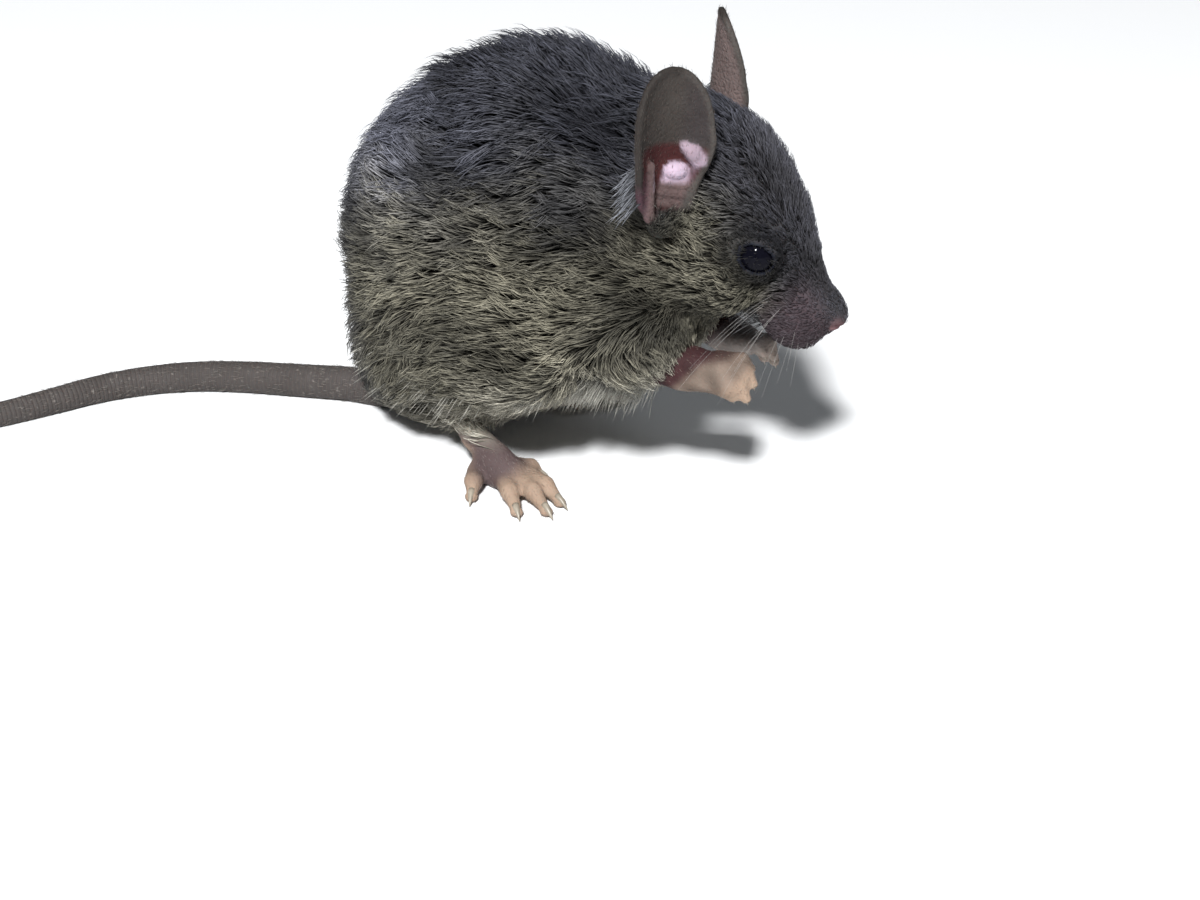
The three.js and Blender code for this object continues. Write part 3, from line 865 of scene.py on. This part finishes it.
skin = new_piece("skin", skin_points, skin_faces, skin_finish())
zones = skin_zones(skin_points)
store(skin, "skin_colour", "FLOAT_COLOR", with_alpha(skin_colours(skin_points, zones)))
marks = np.stack([zones["bare"], zones["tail"], zones["ear"]], 1)
store(skin, "skin_zone", "FLOAT_COLOR", with_alpha(marks))
run = np.zeros(len(skin_points))
run[zones["tail"] > 0] = along_tail(skin_points[zones["tail"] > 0])[1]
RING_PITCH = 0.42
store(skin, "tail_run", "FLOAT", run * 2 * np.pi / RING_PITCH)
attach(skin, "root")
flesh = ["head", "neck", "trunk", "tail_root", "tail_middle", "tail_end", "tail_tip"]
for name in SIDES:
    flesh += [f"{part}_{name}" for part in ("ear", "foreleg", "forepaw", "thigh", "hindfoot")]
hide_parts(*flesh)

# ---- Eyes -------------------------------------------------------------------------------------
# The eyes are glossy black beads, as deep as they are wide, that bulge a little between dark lids.
# Their iris is so dark a brown that it can't be told from the pupil.


def eye_finish():
    material, wire, shader = new_material("eye")
    place = wire.place()
    cloud = wire.noise(place, 900, 2)
    feed(shader, "Base Color", wire.mixed(cloud, (0.002, 0.002, 0.004, 1), (0.005, 0.005, 0.009, 1)))
    feed(shader, "Roughness", 0.05 + 0.08 * cloud)
    feed(shader, "Specular IOR Level", 0.06)
    return material


def ball_mesh(centre, radius, rings=20, sides=32):
    polar = np.linspace(0, np.pi, rings + 1)[1:-1]
    round_ = np.linspace(0, 2 * np.pi, sides, endpoint=False)
    ring = np.stack([np.cos(round_), np.sin(round_)], 1)
    points = [(0, 0, 1)]
    for a in polar:
        points += [(np.sin(a) * x, np.sin(a) * y, np.cos(a)) for x, y in ring]
    points.append((0, 0, -1))
    last = len(points) - 1
    faces = []
    for i in range(sides):
        j = (i + 1) % sides
        faces.append((0, 1 + i, 1 + j))
        faces.append((last, last - sides + j, last - sides + i))
        for k in range(rings - 2):
            a, b = 1 + k * sides, 1 + (k + 1) * sides
            faces.append((a + i, b + i, b + j, a + j))
    return np.array(points) * radius + centre, faces


eye_material = eye_finish()
for name, side in SIDES.items():
    points, faces = ball_mesh(out_of(HEAD, on_side(EYE_CENTRE, side)), EYE_RADIUS)
    mesh = bpy.data.meshes.new(f"eyeball_{name}")
    mesh.from_pydata(placed(points).tolist(), [], faces)
    mesh.shade_smooth()
    mesh.materials.append(eye_material)
    eye = bpy.data.objects.new(f"eyeball_{name}", mesh)
    bpy.context.scene.collection.objects.link(eye)
    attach(eye, "root")
    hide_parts(f"eye_{name}")


# ---- Coat: the lie, length and colour of the fur ----------------------------------------------
# The coat is short and sleek, of fine hairs that gather in small pointed locks. It runs back from
# the nose over the crown and down to the rump, and down the flanks to a pale fringe.
rng = np.random.default_rng(41)
STRAND_SHARES = np.array([0.0, 0.42, 0.76, 1.0])


def shank_form(name):
    return chain([hind_place(name, q) for q in HIND_LINE[:3]], HIND_RADII[:3])


def skin_base(p):
    """The skin without its bare parts, which the coat's lie follows down to the ankles."""
    d = coat_form(p) + coat_depth(p)
    low = p[:, 2] < 13
    for name in SIDES:
        d[low] = meld(1.2, d[low], shank_form(name)(p[low]))
    ahead = p[:, 0] > 15
    for side in (1, -1):
        lid = ellipsoid(on_side(EYE_CENTRE, side), (EYE_RADIUS + 0.26,) * 3, HEAD)
        d[ahead] = meld(0.5, d[ahead], lid(p[ahead]))
    return d


def coat_slope(p):
    return slope_of(skin_base, p, 0.35)


def swirl(p, size, seed):
    """A smooth random wander over the body, between about -1 and 1."""
    own = np.random.default_rng(seed)
    total = np.zeros(len(p))
    for _ in range(5):
        way = own.normal(size=3) / size
        total += np.sin(p @ way + own.uniform(0, 6.28))
    return total / 2.6


def head_share(h):
    """How far points, given in the head's frame, are on the head and not on the neck."""
    return ease(-21, -16, h[:, 0]) * ease(-13, -9, h[:, 2])


def coat_lie(p, n):
    h = into(HEAD, p)
    low = 1 - ease(9, 21, p[:, 2])
    flow = np.stack([-np.ones(len(p)), np.zeros(len(p)), -0.16 - 0.75 * low], 1)
    cheek = 1 - ease(-6, 0, h[:, 2])
    away = np.stack([-np.ones(len(p)), 0.05 * h[:, 1], -0.05 - 0.5 * cheek], 1)
    flow += (away @ HEAD[0].T - flow) * ease(-24, -14, h[:, 0])[:, None]
    for wrist in WRISTS.values():
        pull = 1 - ease(3, 9, np.linalg.norm(p - wrist, axis=1))
        flow += (unit(wrist + (1, 0, -1) - p) - flow) * pull[:, None]
    flow = unit(flow - (flow * n).sum(1, keepdims=True) * n)
    turn = 0.26 * swirl(p, 2.8, 5) + 0.22 * swirl(p, 0.9, 6)
    return unit(flow + np.cross(n, flow) * turn[:, None])


def roots_on_skin(density):
    """Random places on the skin, with a given number for each square millimetre of every face."""
    corners = skin_points[skin_faces]
    ab, ac = corners[:, 2] - corners[:, 0], corners[:, 3] - corners[:, 1]
    area = 0.5 * np.linalg.norm(np.cross(ab, ac), axis=1)
    wanted = area * density
    count = np.floor(wanted + rng.random(len(wanted))).astype(int)
    face = np.repeat(np.arange(len(wanted)), count)
    s, t = rng.random((2, len(face), 1))
    four = corners[face]
    low = four[:, 0] + (four[:, 1] - four[:, 0]) * s
    high = four[:, 3] + (four[:, 2] - four[:, 3]) * s
    return low + (high - low) * t, face


face_middle = skin_points[skin_faces].mean(1)
face_bare = zones["bare"][skin_faces].mean(1)
h_face = into(HEAD, face_middle)
snout = ease(-12, -4, h_face[:, 0]) * ease(-9, -7, h_face[:, 2])
on_head = head_share(h_face)
COAT_DENSITY = 22  # tufts on a square millimetre of the trunk
TUFTS_IN_LOCK = 12
density = COAT_DENSITY * (1 + 0.55 * on_head + 0.75 * snout)
density *= (1 - face_bare) ** 2
density[face_middle[:, 2] < 2] *= 0.4
roots, _ = roots_on_skin(density)


def grow(roots, length, rise, lean):
    """Each tuft's path from its root, following the skin and rising to its height at the tip."""
    n = coat_slope(roots)
    way = coat_lie(roots, n)
    way = unit(way + np.cross(n, way) * lean[:, None])
    path = [roots - 0.12 * n]
    p = roots
    for before, share in zip(STRAND_SHARES[:-1], STRAND_SHARES[1:]):
        p = p + way * (length * (share - before))[:, None]
        height = rise * np.sin(np.pi / 2 * share) ** 0.9
        p = p + n * (height - skin_base(p))[:, None]
        n = coat_slope(p)
        way = unit(way - (way * n).sum(1, keepdims=True) * n)
        path.append(p)
    return np.stack(path, 1)


def locks_of(places, every):
    """The tuft that leads each tuft's lock: one in so many leads, and the nearest one is followed."""
    leaders = rng.choice(len(places), max(1, len(places) // every), replace=False)
    tree = kdtree.KDTree(len(leaders))
    for i, leader in enumerate(leaders):
        tree.insert(places[leader], i)
    tree.balance()
    return np.array([leaders[tree.find(place)[1]] for place in places])


def gathered(path, lock, strength):
    """Draws each tuft's tip towards that of the lock it belongs to."""
    pull = strength[:, None] * STRAND_SHARES[None] ** 1.5
    return path + (path[lock] - path) * pull[..., None]


SIDES_OF_STRAND = 3
LOWEST_HAIR = 0.08  # above the floor, so that no tuft goes into it


def strand_mesh(path, width):
    """Closed three-sided spikes along the paths, as points and triangles."""
    count, rings = path.shape[:2]
    path = np.maximum(path, (-np.inf, -np.inf, LOWEST_HAIR))
    along = unit((path[:, -1] - path[:, 0]))
    side = unit(np.cross(along, rng.normal(size=along.shape)))
    other = np.cross(along, side)
    turn = np.arange(SIDES_OF_STRAND) * 2 * np.pi / SIDES_OF_STRAND
    thick = np.interp(STRAND_SHARES[: rings - 1], [0, 0.42, 0.76, 1], [0.8, 1, 0.7, 0.2])
    points = []
    for ring in range(rings - 1):
        for angle in turn:
            arm = side * np.cos(angle) + other * np.sin(angle)
            points.append(path[:, ring] + arm * (width * thick[ring])[:, None])
    points.append(path[:, -1])
    points = np.stack(points, 1)
    tip = points.shape[1] - 1
    faces, places = [(0, 2, 1)], [((0, 0), (1, 0), (0.5, 0.05))]
    for ring in range(rings - 1):
        low, high = ring / (rings - 1), (ring + 1) / (rings - 1)
        for s in range(SIDES_OF_STRAND):
            a = ring * 3 + s
            b = ring * 3 + (s + 1) % 3
            left, right = s / 3, (s + 1) / 3
            if ring == rings - 2:
                faces.append((a, b, tip))
                places.append(((left, low), (right, low), ((left + right) / 2, high)))
                continue
            faces += [(a, b, b + 3), (a, b + 3, a + 3)]
            places.append(((left, low), (right, low), (right, high)))
            places.append(((left, low), (right, high), (left, high)))
    faces = np.array(faces)[None] + (np.arange(count) * (tip + 1))[:, None, None]
    return points.reshape(-1, 3), faces.reshape(-1, 3), np.array(places, float)


def coat_finish():
    material, wire, shader = new_material("coat")
    place = wire.place()
    colour = wire.attribute("coat_colour")
    patch = wire.noise(place, 260, 3)
    fine = wire.noise(place, 3200, 2)
    shade = 0.45 + 0.75 * patch + 0.35 * fine
    feed(shader, "Base Color", wire.toned(colour, shade))
    feed(shader, "Roughness", 0.36 + 0.2 * patch)
    feed(shader, "Normal", wire.bump(fine, 0.3, 0.00004))
    feed(shader, "Specular IOR Level", 0.16)
    return material


coat_material = coat_finish()
PATCH = 0.003  # how much of the flat map each tuft takes up


def unwrapped(p, about_head):
    """A root's place on the skin laid out flat, round the head's own axis or round the trunk's."""
    if about_head:
        h = into(HEAD, p)
        round_, along = np.arctan2(h[:, 1], h[:, 2] + 2), h[:, 0]
    else:
        q = p - (0, 0, 19)
        round_ = np.arctan2(q[:, 1], q[:, 0])
        along = q[:, 2] / np.linalg.norm(q, axis=1)
    flat = np.stack([round_, along], 1)
    flat = (flat - flat.min(0)) / (np.ptp(flat, axis=0) + 1e-9)
    return 0.005 + 0.985 * flat


def coat_piece(name, path, width, colours, finish, slot, about_head=False):
    points, faces, places = strand_mesh(path, width)
    piece = new_piece(name, points, faces, finish)
    rings = path.shape[1]
    ring_colour = np.repeat(colours[:, : rings - 1], SIDES_OF_STRAND, axis=1)
    all_colours = np.concatenate([ring_colour, colours[:, rings - 1 : rings]], 1)
    store(piece, "coat_colour", "FLOAT_COLOR", with_alpha(all_colours.reshape(-1, 3)))
    corner = unwrapped(path[:, 0], about_head)
    uv = corner[:, None, None] + (places[None] - 0.5) * PATCH
    layer = piece.data.uv_layers.new(name="OFBake")
    layer.data.foreach_set("uv", uv.astype(np.float32).ravel())
    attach(piece, "root")
    return piece


def coat_colours(p, count, lock):
    """Each tuft's colours from root to tip: dark, with a paler band or tip on some of them."""
    root, tip = markings(p, UNDERFUR), markings(p, TIPS)
    tone = rng.normal(1, 0.13, count).clip(0.5, 1.6)[:, None]
    patch = (1 + 0.5 * swirl(p, 2.6, 9) + 0.25 * swirl(p, 1.0, 10)).clip(0.15, 2)[:, None]
    of_lock = ease(0.1, 0.95, rng.random(count))[lock]
    pale = 0.55 * of_lock + 0.45 * ease(0.4, 0.98, rng.random(count))
    share = (0.40 + 0.80 * pale[:, None]) * patch
    black_tip = (rng.random(count) < 0.3)[:, None]
    mid = root + (tip - root) * 0.12 * share
    band = root + (tip - root) * 0.85 * share
    end = np.where(black_tip, root * 0.8 + 0.25 * (band - root), root + (tip - root) * 1.1 * share)
    return np.stack([root * 0.75, mid, band, end], 1) * tone[:, None]


h_root = into(HEAD, roots)
on_head = head_share(h_root)
depth = coat_depth(roots)
on_back = ease(26, 36, roots[:, 2]) * (1 - on_head)
fringe = 1 - ease(5, 11, roots[:, 2] - 0.2 * roots[:, 0])
shank = 1 - ease(5.5, 8.5, roots[:, 2])
for name in SIDES:
    near = (1 - ease(0.3, 1.2, shank_form(name)(roots))) * shank
    depth += (0.55 - depth) * near
length = depth * 1.3 + 0.25
length *= (1 + 0.25 * fringe * (1 - on_head)) * rng.normal(1, 0.2, len(roots)).clip(0.55, 1.6)
rise = depth * rng.uniform(0.45, 1.05, len(roots)) * (1 + 0.2 * np.maximum(on_head, fringe))
guard = rng.random(len(roots)) < 0.09 + 0.10 * on_back + 0.12 * fringe * (1 - on_head)
length = np.where(guard, length * 1.4, length)
guard_rise = 1.05 + 0.25 * rng.random(len(roots)) + 0.25 * on_back * rng.random(len(roots))
rise = np.where(guard, depth * guard_rise, rise)
lock = locks_of(roots, TUFTS_IN_LOCK)
lean = rng.normal(0, 0.30, len(roots))[lock] + rng.normal(0, 0.16, len(roots))
paths = grow(roots, length, rise, lean)
strength = rng.uniform(0.25, 0.8, len(roots)) * (1 - 0.4 * on_head)
paths = gathered(paths, lock, strength)
width = (0.026 + 0.024 * depth / 2) * rng.uniform(0.7, 1.2, len(roots))
width = np.where(guard, width * 0.8, width)
colours = coat_colours(roots, len(roots), lock)
near_eye = np.min([np.linalg.norm(h_root - on_side(EYE_CENTRE, s), axis=1) for s in (1, -1)], axis=0)
colours *= (0.3 + 0.7 * ease(2.0, 3.4, near_eye))[:, None, None]
colours = np.where(guard[:, None, None], colours * 1.15, colours)
# painted shade: the coat low on the rump is darkened where the body shades it
painted_shade_under_rump = (1 - ease(7, 14, roots[:, 2])) * (1 - ease(-7, -1, roots[:, 0]))
colours *= (1 - 0.4 * painted_shade_under_rump)[:, None, None]

n_root = coat_slope(roots)
is_head = on_head > 0.5
snout_root = h_root[:, 0] > -8
crown_root = h_root[:, 2] > 0.5
cheek_root = is_head & ~snout_root & ~crown_root
upper, under = n_root[:, 2] > 0.5, n_root[:, 2] < -0.5
upright = ~is_head & ~upper & ~under
rear, fore = roots[:, 0] < -8, roots[:, 0] > 5
left = roots[:, 1] > 0
regions = {
    "coat_snout": is_head & snout_root,
    "coat_crown": is_head & ~snout_root & crown_root,
    "coat_cheek_left": cheek_root & (h_root[:, 1] > 0),
    "coat_cheek_right": cheek_root & (h_root[:, 1] <= 0),
    "coat_belly": ~is_head & under,
    "coat_neck": ~is_head & upper & fore,
    "coat_back": ~is_head & upper & ~fore,
    "coat_rump": upright & rear,
    "coat_shoulder_left": upright & fore & left,
    "coat_shoulder_right": upright & fore & ~left,
    "coat_flank_left": upright & ~rear & ~fore & left,
    "coat_flank_right": upright & ~rear & ~fore & ~left,
}
for name, chosen in regions.items():
    about_head = is_head[chosen].all()
    parts = paths[chosen], width[chosen], colours[chosen]
    coat_piece(name, *parts, coat_material, "coat", about_head)


# ---- Throat, ear roots and fringe: longer pale hairs ------------------------------------------
# Soft pale hairs hang from the chin, the hem of the belly and the haunches, and a grey-white tuft
# lies behind each ear. They are looser than the rest of the coat and are not gathered in locks.


def laid(root, way, length, fall, count, spread):
    """Loose hairs from a root area, along a way in the body's frame that falls as it goes."""
    way = unit(np.tile(np.asarray(way, float), (count, 1)) + rng.normal(0, spread, (count, 3)))
    long_ = length * rng.uniform(0.6, 1.15, count)
    path = []
    for share in STRAND_SHARES:
        drop = np.array([0, 0, -fall]) * share**2
        path.append(root + way * (long_ * share)[:, None] + drop * long_[:, None])
    return np.stack(path, 1)


def near_places(centres, radius, count):
    """Roots on the skin that lie near the given centres, at random."""
    distance = np.linalg.norm(roots[:, None] - np.asarray(centres, float)[None], axis=2).min(1)
    close = np.flatnonzero(distance < radius)
    return roots[rng.choice(close, min(count, len(close)), replace=False)]


CHIN_LINE = ((-6, 0, -6), (-9, 0, -8.5), (-12, 0, -10), (-15, 0, -11))  # in the head's frame
CHIN_TUFTS, EAR_TUFTS, BASE_TUFTS, HEM_TUFTS, HAUNCH_TUFTS = 1000, 90, 420, 3600, 180
chin = near_places(out_of(HEAD, CHIN_LINE), 3.6, CHIN_TUFTS)
chin_paths = laid(chin, HEAD[0] @ np.array([-0.6, 0, -0.65]), 2.9, 0.25, len(chin), 0.2)
ear_tufts, base_tufts = [], []
HAUNCH_LINE = ((-9, 8, 9), (-5, 10, 8), (-1, 10, 8))
HEM_LINE = ((6, 8, 9.5), (8, 7, 10.5), (11, 6, 11.5), (8, 3, 9), (11, 3, 10.5), (14, 3, 12), (8, 5, 9.5))
for name, side in SIDES.items():
    back_of_ear = skin_points[zones["ear"] > 0.8]
    spots = np.array([ear_spot(name, 3.0 * side, height, -0.35) for height in (3.0, 4.2, 5.4)])
    away = np.linalg.norm(back_of_ear[:, None] - spots[None], axis=2).min(1)
    close = back_of_ear[rng.choice(np.flatnonzero(away < 1.0), EAR_TUFTS)]
    ear_tufts.append(laid(close, on_side((-0.72, 0.28, -0.55), side), 2.4, 0.25, len(close), 0.16))
    foot = np.array([ear_spot(name, flat * -side, -0.2, 0.9) for flat in (-1.5, 0.0, 1.5, 2.6)])
    close = near_places(foot, 2.2, BASE_TUFTS)
    up_the_blade = ear_frame(name)[0] @ np.array([0.1 * side, 0.45, 0.85])
    base_tufts.append(laid(close, up_the_blade, 2.3, 0.15, len(close), 0.2))
haunch_line = [(x, y * s, z) for s in (-1, 1) for x, y, z in HAUNCH_LINE]
haunch = near_places(haunch_line, 3.5, HAUNCH_TUFTS)
haunch_way = unit(haunch - (-2, 0, 14) + np.array([-6, 0, -7]))
haunch_length = rng.uniform(2.0, 4.0, (len(haunch), 1, 1))
long_hairs = haunch[:, None] + haunch_way[:, None] * STRAND_SHARES[None, :, None] * haunch_length
edge = [(x, y * s, z) for x, y, z in HEM_LINE for s in (1, -1)]
hem = near_places(edge, 2.4, HEM_TUFTS)
hem_way = unit(hem * (0, 0.04, 0) - (0.5, 0, 1) + rng.normal(0, 0.16, (len(hem), 3)))
hem_length = rng.uniform(1.1, 2.1, (len(hem), 1, 1)) * (1 + 1.5 * ease(4, 8, hem[:, 0]))[:, None, None]
hem_hairs = hem[:, None] + hem_way[:, None] * STRAND_SHARES[None, :, None] * hem_length
hem_hairs[..., 2] = np.maximum(hem_hairs[..., 2], 0.3)
soft_paths = np.vstack([chin_paths, *ear_tufts, *base_tufts, hem_hairs, long_hairs])
SOFT_GREY = np.array([0.9, 0.9, 0.92])
SOFT_SHADES = np.array([0.05, 0.12, 0.26, 0.35])  # from root to tip
soft_colours = np.tile(SOFT_SHADES[None, :, None] * SOFT_GREY, (len(soft_paths), 1, 1))
soft_colours *= rng.uniform(0.55, 1.1, (len(soft_paths), 1, 1))
soft_colours[-len(long_hairs) - len(hem_hairs) :] *= (1.95, 1.9, 1.65)
soft_colours[-len(long_hairs) :] *= 1.05
chin_count, tuft_count, base_count = len(chin), sum(map(len, ear_tufts)), sum(map(len, base_tufts))
soft_colours[:chin_count] *= 0.55
soft_colours[chin_count : chin_count + tuft_count] *= (1.2, 1.25, 1.36)
base = slice(chin_count + tuft_count, chin_count + tuft_count + base_count)
soft_colours[base] = coat_colours(soft_paths[base, 0], base_count, np.arange(base_count)) * 1.1
SOFT_WIDTH = 0.034
soft_widths = np.full(len(soft_paths), SOFT_WIDTH)
coat_piece("coat_soft_tufts", soft_paths, soft_widths, soft_colours, coat_material, "coat", True)

# ---- Ears, tail and feet: fine short hairs ----------------------------------------------------
# Short hairs are scattered over the ears, the rings of the tail and the backs of the feet. They lie
# close to the skin and leave it bare to the eye.


def sparse(zone, per_mm2, length, way, colour, width):
    face_zone = zones[zone][skin_faces].mean(1)
    spots, face = roots_on_skin(per_mm2 * (face_zone > 0.7))
    corners = skin_points[skin_faces[face]]
    normal = unit(np.cross(corners[:, 2] - corners[:, 0], corners[:, 3] - corners[:, 1]))
    flow = way(spots)
    flow = unit(flow - (flow * normal).sum(1, keepdims=True) * normal) + 0.28 * normal
    flow = unit(flow + rng.normal(0, 0.16, flow.shape))
    long_ = (length * rng.uniform(0.6, 1.2, len(spots)))[:, None]
    path = [spots - 0.05 * normal]
    for share in STRAND_SHARES[1:]:
        path.append(spots + flow * long_ * share - normal * 0.12 * long_ * share**2)
    shade = np.linspace(0.6, 1.2, 4)[None, :, None] * np.asarray(colour)
    shade = shade * rng.uniform(0.5, 1.4, (len(spots), 1, 1))
    return np.stack(path, 1), np.full(len(spots), width), shade


def up_the_ear(p):
    ways = np.zeros((len(p), 3))
    for name, side in SIDES.items():
        mine = into(HEAD, p)[:, 1] * side > 0
        ways[mine] = ear_frame(name)[0][:, 2]
    return ways


def down_the_tail(p):
    run = along_tail(p)[1]
    return np.stack([np.interp(run, tail_run, np.gradient(tail_line[:, i])) for i in range(3)], 1)


def down_the_foot(p):
    return np.sign(p) * (0, 0.5, 0) + (0.8, 0, -0.5)


# Each kind's share per square millimetre, length, way, colour and width.
FOOT_HAIRS = (5, 0.5, down_the_foot, (0.26, 0.22, 0.20), 0.014)
PAW_HAIRS = (3, 0.4, down_the_foot, (0.24, 0.19, 0.16), 0.013)
hair_pieces = [
    ("ear_hairs", "ear_skin", "ear", (6, 0.5, up_the_ear, (0.095, 0.082, 0.072), 0.013)),
    ("tail_hairs", "tail_skin", "tail", (3.2, 0.75, down_the_tail, (0.21, 0.19, 0.17), 0.016)),
]
hair_pieces += [(f"foot_hairs_{name}", "foot_skin", f"hind_{name}", FOOT_HAIRS) for name in SIDES]
hair_pieces += [(f"paw_hairs_{name}", "foot_skin", f"fore_{name}", PAW_HAIRS) for name in SIDES]
grown = [sparse(zone, *kind) for _, _, zone, kind in hair_pieces]
for (name, slot, _, _), hairs in zip(hair_pieces, grown):
    coat_piece(name, *hairs, coat_material, slot)

# ---- Claws ------------------------------------------------------------------------------------
# Each digit ends in a small claw of pale grey horn, curved down to a sharp point. Those of the hind
# feet are longer and rest on the floor.


def tube(path, radii, sides=8):
    """A closed round tube along a path, as points and quads."""
    path = np.asarray(path, float)
    along = unit(np.gradient(path, axis=0))
    aside = unit(np.cross(along, np.tile(np.array([0.1, 0.2, 1.0]), (len(path), 1))))
    above = np.cross(along, aside)
    turn = np.arange(sides) * 2 * np.pi / sides
    ring = aside[:, None] * np.cos(turn)[None, :, None] + above[:, None] * np.sin(turn)[None, :, None]
    points = path[:, None] + ring * np.asarray(radii)[:, None, None]
    points = np.vstack([points.reshape(-1, 3), path[:1], path[-1:]])
    faces = []
    for i in range(len(path) - 1):
        for s in range(sides):
            a, b = i * sides + s, i * sides + (s + 1) % sides
            faces += [(a, b, b + sides), (a, b + sides, a + sides)]
    first, last, end = len(points) - 2, len(points) - 1, (len(path) - 1) * sides
    for s in range(sides):
        t = (s + 1) % sides
        faces += [(first, t, s), (last, end + s, end + t)]
    return points, np.array(faces)


def joined(parts):
    points, faces, start = [], [], 0
    for p, f in parts:
        points.append(p)
        faces.append(f + start)
        start += len(p)
    return np.vstack(points), np.vstack(faces)


HIND_CLAW = (1.5, 0.34)  # length, and radius at the root
FORE_CLAW = (0.8, 0.2)


def claw(tip, way, length, radius):
    way = unit(np.asarray(way, float))
    steps = np.linspace(0, 1, 7)
    path = [tip + way * (length * t - 0.35) + np.array([0, 0, 0.22 - 0.42 * t**1.7]) * length for t in steps]
    return tube(path, radius * (1 - steps**1.5 * 0.93))


def claw_finish():
    material, wire, shader = new_material("claw")
    place = wire.place()
    grain = wire.noise(place, 1500, 3)
    feed(shader, "Base Color", wire.mixed(grain, (0.17, 0.14, 0.11, 1), (0.38, 0.34, 0.27, 1)))
    feed(shader, "Roughness", 0.28 + 0.2 * grain)
    feed(shader, "Normal", wire.bump(grain, 0.2, 0.00003))
    return material


claw_material = claw_finish()
for name in SIDES:
    claws = []
    for root, tip in HIND_DIGITS:
        a, b = hind_place(name, root), hind_place(name, tip)
        claws.append(claw(b, b - a, *HIND_CLAW))
    for finger in FINGERS:
        a, b = fore_place(name, finger[1]), fore_place(name, finger[2])
        claws.append(claw(b + (0, 0, -0.1), b - a + (0, 0, -0.3), *FORE_CLAW))
    points, faces = joined(claws)
    points[:, 2] = np.maximum(points[:, 2], 0.01)
    piece = new_piece(f"claws_{name}", points, faces, claw_material)
    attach(piece, "root")

# ---- Whiskers ---------------------------------------------------------------------------------
# Stiff pale whiskers grow in three rows from the pads beside the nose. The rearmost are the
# longest, and all of them thin to the tip and sweep back and down.


def whisker_finish():
    material, wire, shader = new_material("whisker")
    place = wire.place()
    grain = wire.noise(place, 200, 2)
    feed(shader, "Base Color", wire.mixed(grain, (0.12, 0.115, 0.11, 1), (0.50, 0.48, 0.46, 1)))
    feed(shader, "Roughness", 0.35 + 0.1 * grain)
    return material


WHISKER_ROWS = 3
WHISKER_COLUMNS = 4
WHISKER_RADIUS = 0.013
whiskers = []
for side in (1, -1):
    for row in range(WHISKER_ROWS):
        for column in range(WHISKER_COLUMNS):
            root = np.array([-2.0 - 1.05 * column, (2.0 + 0.22 * column) * side, -1.3 - 0.85 * row])
            length = 4.0 + 1.6 * column + rng.uniform(-1, 1)
            way = np.array([0.6 - 0.3 * column, 0.8 * side, -0.4 - 0.25 * row]) + rng.normal(0, 0.12, 3)
            way = unit(way)
            t = np.linspace(0, 1, 9)[:, None]
            path = root - way * 0.8 + way * length * t + np.array([0.22, 0, -0.30]) * length * t**2
            whiskers.append(tube(out_of(HEAD, path), WHISKER_RADIUS * (1 - 0.6 * t[:, 0]), 5))
points, faces = joined(whiskers)
piece = new_piece("whiskers", points, faces, whisker_finish())
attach(piece, "root")
# ---- Floor and light --------------------------------------------------------------------------
# The mouse sits on a plain white floor. One soft lamp stands ahead and to its right, and throws
# the shadow to its left; two weak ones and a pale sky fill in the dark side.
FLOOR_SIZE = 6.0
floor_material, _, floor_shader = new_material("floor")
feed(floor_shader, "Base Color", (0.86, 0.87, 0.88, 1))
feed(floor_shader, "Roughness", 0.42)
half = FLOOR_SIZE / 2
floor_mesh = bpy.data.meshes.new("floor")
floor_corners = [(-half, -half, 0), (half, -half, 0), (half, half, 0), (-half, half, 0)]
floor_mesh.from_pydata(floor_corners, [], [(0, 1, 2, 3)])
floor_mesh.materials.append(floor_material)
floor = bpy.data.objects.new("floor", floor_mesh)
bpy.context.scene.collection.objects.link(floor)

world = bpy.data.worlds.new("studio")
world.use_nodes = True
world.node_tree.nodes["Background"].inputs[0].default_value = (0.93, 0.96, 1.0, 1)
world.node_tree.nodes["Background"].inputs[1].default_value = 0.085
bpy.context.scene.world = world
bpy.context.scene.view_settings.view_transform = "Standard"


def soft_light(name, heading, height, distance, size, power, colour=(1, 1, 1)):
    """An area light that looks at the mouse, placed by its compass heading and height in degrees."""
    a, e = np.radians(heading), np.radians(height)
    back = np.array([np.sin(a) * np.cos(e), -np.cos(a) * np.cos(e), np.sin(e)])
    lamp = bpy.data.objects.new(name, bpy.data.lights.new(name, "AREA"))
    bpy.context.scene.collection.objects.link(lamp)
    lamp.data.size = size
    lamp.data.energy = power
    lamp.data.color = colour
    lamp.location = placed((0, 0, 18)) + back * distance
    lamp.rotation_euler = (np.pi / 2 - e, 0, a)


soft_light("key", 17, 49, 1.0, 0.12, 18.8)
soft_light("back", 200, 60, 0.6, 0.3, 0.3, (0.9, 0.95, 1.0))
soft_light("left", -60, 35, 0.6, 0.4, 0.15)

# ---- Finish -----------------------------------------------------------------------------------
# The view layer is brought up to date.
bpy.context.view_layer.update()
